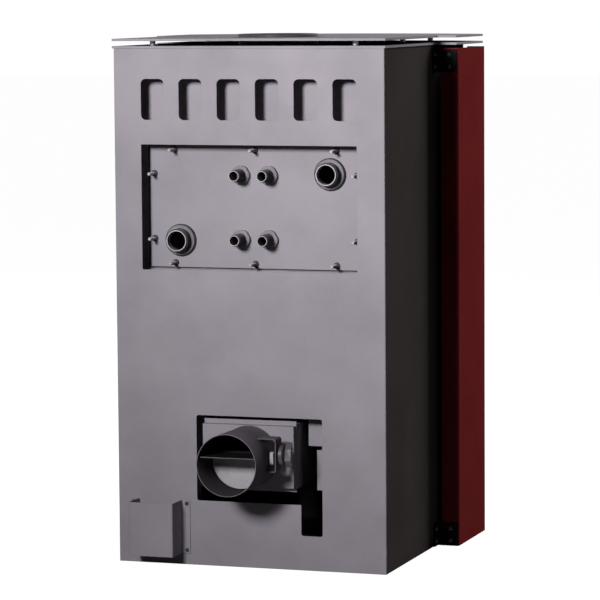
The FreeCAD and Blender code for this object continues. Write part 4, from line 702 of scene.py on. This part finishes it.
def seal_rope():
    """Seal rope on the door's inner face: a lobed cord, twisted along a rounded oblong on the bow."""
    low, high = ([place / MM for place in end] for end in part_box("door_gasket"))
    radius, outer_radius, inset = 475.6, 481.45, math.radians(0.75)
    corner, rope, lobe, twists = 14, 5.2, 0.09, 25
    wide = radius * (math.asin(high[0] / outer_radius) - inset)
    tall, middle = (high[2] - low[2]) / 2 - 6, (high[2] + low[2]) / 2
    path = []
    for side_u, side_z, turn in ((1, 1, 0), (-1, 1, 90), (-1, -1, 180), (1, -1, 270)):
        for step in range(7):
            bend = math.radians(turn + 15 * step)
            path.append((side_u * (wide - corner) + corner * math.cos(bend),
                         side_z * (tall - corner) + corner * math.sin(bend)))
    ring = []
    for (u0, z0), (u1, z1) in zip(path, path[1:] + path[:1]):
        parts = max(1, round(math.hypot(u1 - u0, z1 - z0) / 4))
        ring += [(u0 + (u1 - u0) * part / parts, z0 + (z1 - z0) * part / parts) for part in range(parts)]
    points = [MM * Vector((radius * math.sin(u / radius), BOW_Y - radius * math.cos(u / radius), middle + z))
              for u, z in ring]
    cord = wire("twisted_seal_rope", points + points[:1])
    bpy.ops.object.mode_set(mode="OBJECT")
    bpy.ops.object.convert(target="CURVE")
    outline = [math.radians(10 * step) for step in range(37)]
    lobes = wire("lobes", [
        MM * rope * (1 + lobe * math.cos(6 * turn)) * Vector((math.cos(turn), math.sin(turn), 0))
        for turn in outline])
    bpy.ops.object.mode_set(mode="OBJECT")
    bpy.ops.object.convert(target="CURVE")
    spline = cord.data.splines[0]
    for number, point in enumerate(spline.points):
        point.tilt = twists * math.tau * number / len(spline.points)
    cord.data.bevel_mode = "OBJECT"
    cord.data.bevel_object = lobes
    take(cord)
    bpy.ops.object.convert(target="MESH")
    bpy.data.objects.remove(lobes)
    bpy.ops.object.mode_set(mode="EDIT")
    close_up(60)
    fit(cord, "door", "rope_seal", "door_gasket")


def latch_handle():
    """Door handle: turned hub and spindle, latch tongue, and a lever in a spiral wire grip."""
    turn = math.radians(28)
    out, along = Vector((math.sin(turn), -math.cos(turn), 0)), Vector((math.cos(turn), math.sin(turn), 0))
    middle = Vector((0, BOW_Y, 626))
    hub = turned("hub", [
        (472.5, 0), (472.5, 6), (501.75, 6), (501.75, 12.3), (502.4, 13), (508.6, 13), (511, 11.6),
        (512.4, 9), (513, 0)], foot=middle, way=out)
    head = middle + 515.75 * out + Vector((0, 0, 13))
    lever = turned("lever", [
        (0, 0), (0, 3.5), (1.2, 6.2), (3.5, 7.7), (6, 8), (22, 8), (25, 7.2), (27, 5.8), (30, 5.2),
        (121, 5.2), (123, 6.4), (125, 7.6), (127.5, 7.4), (129.3, 5.6), (130, 3), (130, 0)],
        foot=head, way=DOWN, steps=32)
    take()
    round_wire = 10
    bpy.ops.mesh.primitive_circle_add(vertices=round_wire, radius=1.3 * MM, location=(6.5 * MM, 0, 0))
    coil = bpy.context.object
    bpy.ops.object.transform_apply(location=True)
    apply_modifier(coil, "SCREW", axis="Y", screw_offset=2.9 * MM, iterations=30, steps=24, render_steps=24)
    cap_ends(round_wire)
    close_up(50)
    grip = set_out("coil", coil, [(head - Vector((0, 0, 31.5)), DOWN)])
    take()
    bpy.ops.mesh.primitive_cube_add(size=MM, scale=(33, 6, 18), rotation=(0, 0, turn),
                                    location=MM * (middle + 7.5 * along + 475.45 * out))
    tongue = bpy.context.object
    bpy.ops.object.transform_apply(location=True, rotation=True, scale=True)
    apply_modifier(tongue, "BEVEL", width=1.6 * MM, segments=3)
    bpy.ops.object.shade_smooth_by_angle(angle=math.radians(CREASE))
    fit(join("coil_grip_handle", hub, lever, grip, tongue), "handle", "bright_steel", "door_handle")


def front_knobs():
    """Turned knobs on the two air slides and on the ash drawer.

    The slides are drawn a little towards the axis of the bow, so that their facets clear the front.
    """
    drawn_in = 0.9992
    for node, body, z in (("primary_air_slider", "primary_air", 262),
                          ("secondary_air_slider", "secondary_air", 901)):
        slide = bench_copy(node, "slide")
        bpy.ops.mesh.select_all(action="SELECT")
        bpy.ops.mesh.bisect(plane_co=(0, KNOB_Y * MM, 0), plane_no=REAR, use_fill=True, clear_inner=True)
        bpy.ops.mesh.select_all(action="SELECT")
        bpy.ops.transform.resize(value=(drawn_in, drawn_in, 1), center_override=(0, BOW_Y * MM, 0))
        close_up()
        knob = turned("knob", [
            (-0.6, 0), (-0.6, 3), (0, 3), (0, 6.2), (0.8, 7), (2, 6.4), (4, 5), (6, 5.2), (8.4, 7.6),
            (10.4, 8.8), (12.4, 9), (14.4, 7.8), (15.6, 5), (16, 0)], foot=(0, KNOB_Y, z), way=FRONT)
        fit(join(node + "_turned", slide, knob), body, "bright_steel", node)
    pull = turned("turned_drawer_pull", [
        (0, 0), (0, 9.4), (0.8, 10), (2, 9.8), (3.4, 7.6), (5.5, 5.8), (9.5, 5.2), (12.5, 6.4), (15, 8.6),
        (17.5, 9.8), (20, 9.9), (22.2, 8.6), (23.6, 5.4), (24, 0)], foot=(0, -325, 331.5), way=FRONT)
    fit(pull, "drawer", "bright_steel", "ash_drawer_pull")


seal_rope()
latch_handle()
front_knobs()


# Floor, light and camera

def seen_directly(tree):
    """1 where the camera sees a surround, also by way of gloss or glass, and 0 where it lights the stove."""
    rays = add(tree, "LightPath").outputs
    direct = add(tree, "Math", {0: rays["Is Camera Ray"], 1: rays["Is Glossy Ray"]}, operation="MAXIMUM")
    shown = add(tree, "Math", {0: direct.outputs["Value"], 1: rays["Is Transmission Ray"]},
                operation="MAXIMUM")
    return shown.outputs["Value"]


def studio():
    """White floor and surround, a key light behind the stove and a soft light before it."""
    bpy.ops.object.select_all(action="DESELECT")
    bpy.ops.mesh.primitive_plane_add(size=60, location=(0, 0, -0.5 * MM))
    floor = bpy.context.object
    floor.name = "floor"
    material = bpy.data.materials.new("matt_white_floor")
    material.use_nodes = True
    tree = material.node_tree
    tree.nodes.remove(tree.nodes["Principled BSDF"])
    matt = add(tree, "BsdfDiffuse", {"Color": grey(0.2)})
    lift = add(tree, "Math", {0: seen_directly(tree), 1: 0.98}, operation="MULTIPLY")
    glow = add(tree, "Emission", {"Color": grey(1.0), "Strength": lift.outputs["Value"]})
    both = add(tree, "AddShader", {0: matt.outputs["BSDF"], 1: glow.outputs["Emission"]})
    tree.links.new(both.outputs["Shader"], tree.nodes["Material Output"].inputs["Surface"])
    dress(floor, material)

    world = bpy.data.worlds.new("white_studio")
    bpy.context.scene.world = world
    world.use_nodes = True
    tree = world.node_tree
    level = add(tree, "MapRange", {"Value": seen_directly(tree), FROM_LOW: 0.0, FROM_HIGH: 1.0,
                                   TO_LOW: 0.025, TO_HIGH: 1.0})
    back = tree.nodes["Background"]
    back.inputs["Color"].default_value = grey(1.0)
    tree.links.new(level.outputs["Result"], back.inputs["Strength"])

    # Name, side in metres, spread in degrees, power in watts, place and aim of each lamp
    for name, size, spread, energy, place, aim in (
            ("rear_key", 0.6, 60, 18.2, (0.42, 3.45, 1.66), (-0.30, 0.25, 1.10)),
            ("front_soft", 1.4, 180, 122, (-1.65, -2.6, 2.3), (0.0, -0.2, 0.65))):
        lamp = bpy.data.lights.new(name, "AREA")
        lamp.shape = "SQUARE"
        lamp.size = size
        lamp.spread = math.radians(spread)
        lamp.energy = energy
        stand = bpy.data.objects.new(name, lamp)
        stand.location = place
        stand.rotation_euler = (Vector(aim) - Vector(place)).to_track_quat("-Z", "Y").to_euler()
        bpy.context.scene.collection.objects.link(stand)


def photo_camera():
    """Camera of the photograph, worked out from the corners of the casing."""
    azimuth, elevation, roll = (math.radians(turn) for turn in (198.61, 5.57, -0.41))
    back = Vector((math.sin(azimuth) * math.cos(elevation), -math.cos(azimuth) * math.cos(elevation),
                   math.sin(elevation)))
    right = Vector((math.cos(azimuth), math.sin(azimuth), 0))
    up = back.cross(right)
    across = math.cos(roll) * right + math.sin(roll) * up
    upward = -math.sin(roll) * right + math.cos(roll) * up
    place = (-1.8694, 5.5189, 1.0224)
    lens = bpy.data.cameras.new("photo_camera")
    lens.sensor_width = 36
    lens.lens = 191.28
    camera = bpy.data.objects.new("photo_camera", lens)
    turn = Matrix((across, upward, back)).transposed().to_4x4()
    camera.matrix_world = Matrix.Translation(place) @ turn
    bpy.context.scene.collection.objects.link(camera)
    bpy.context.scene.camera = camera


studio()
photo_camera()
bpy.context.scene.view_settings.view_transform = "Standard"
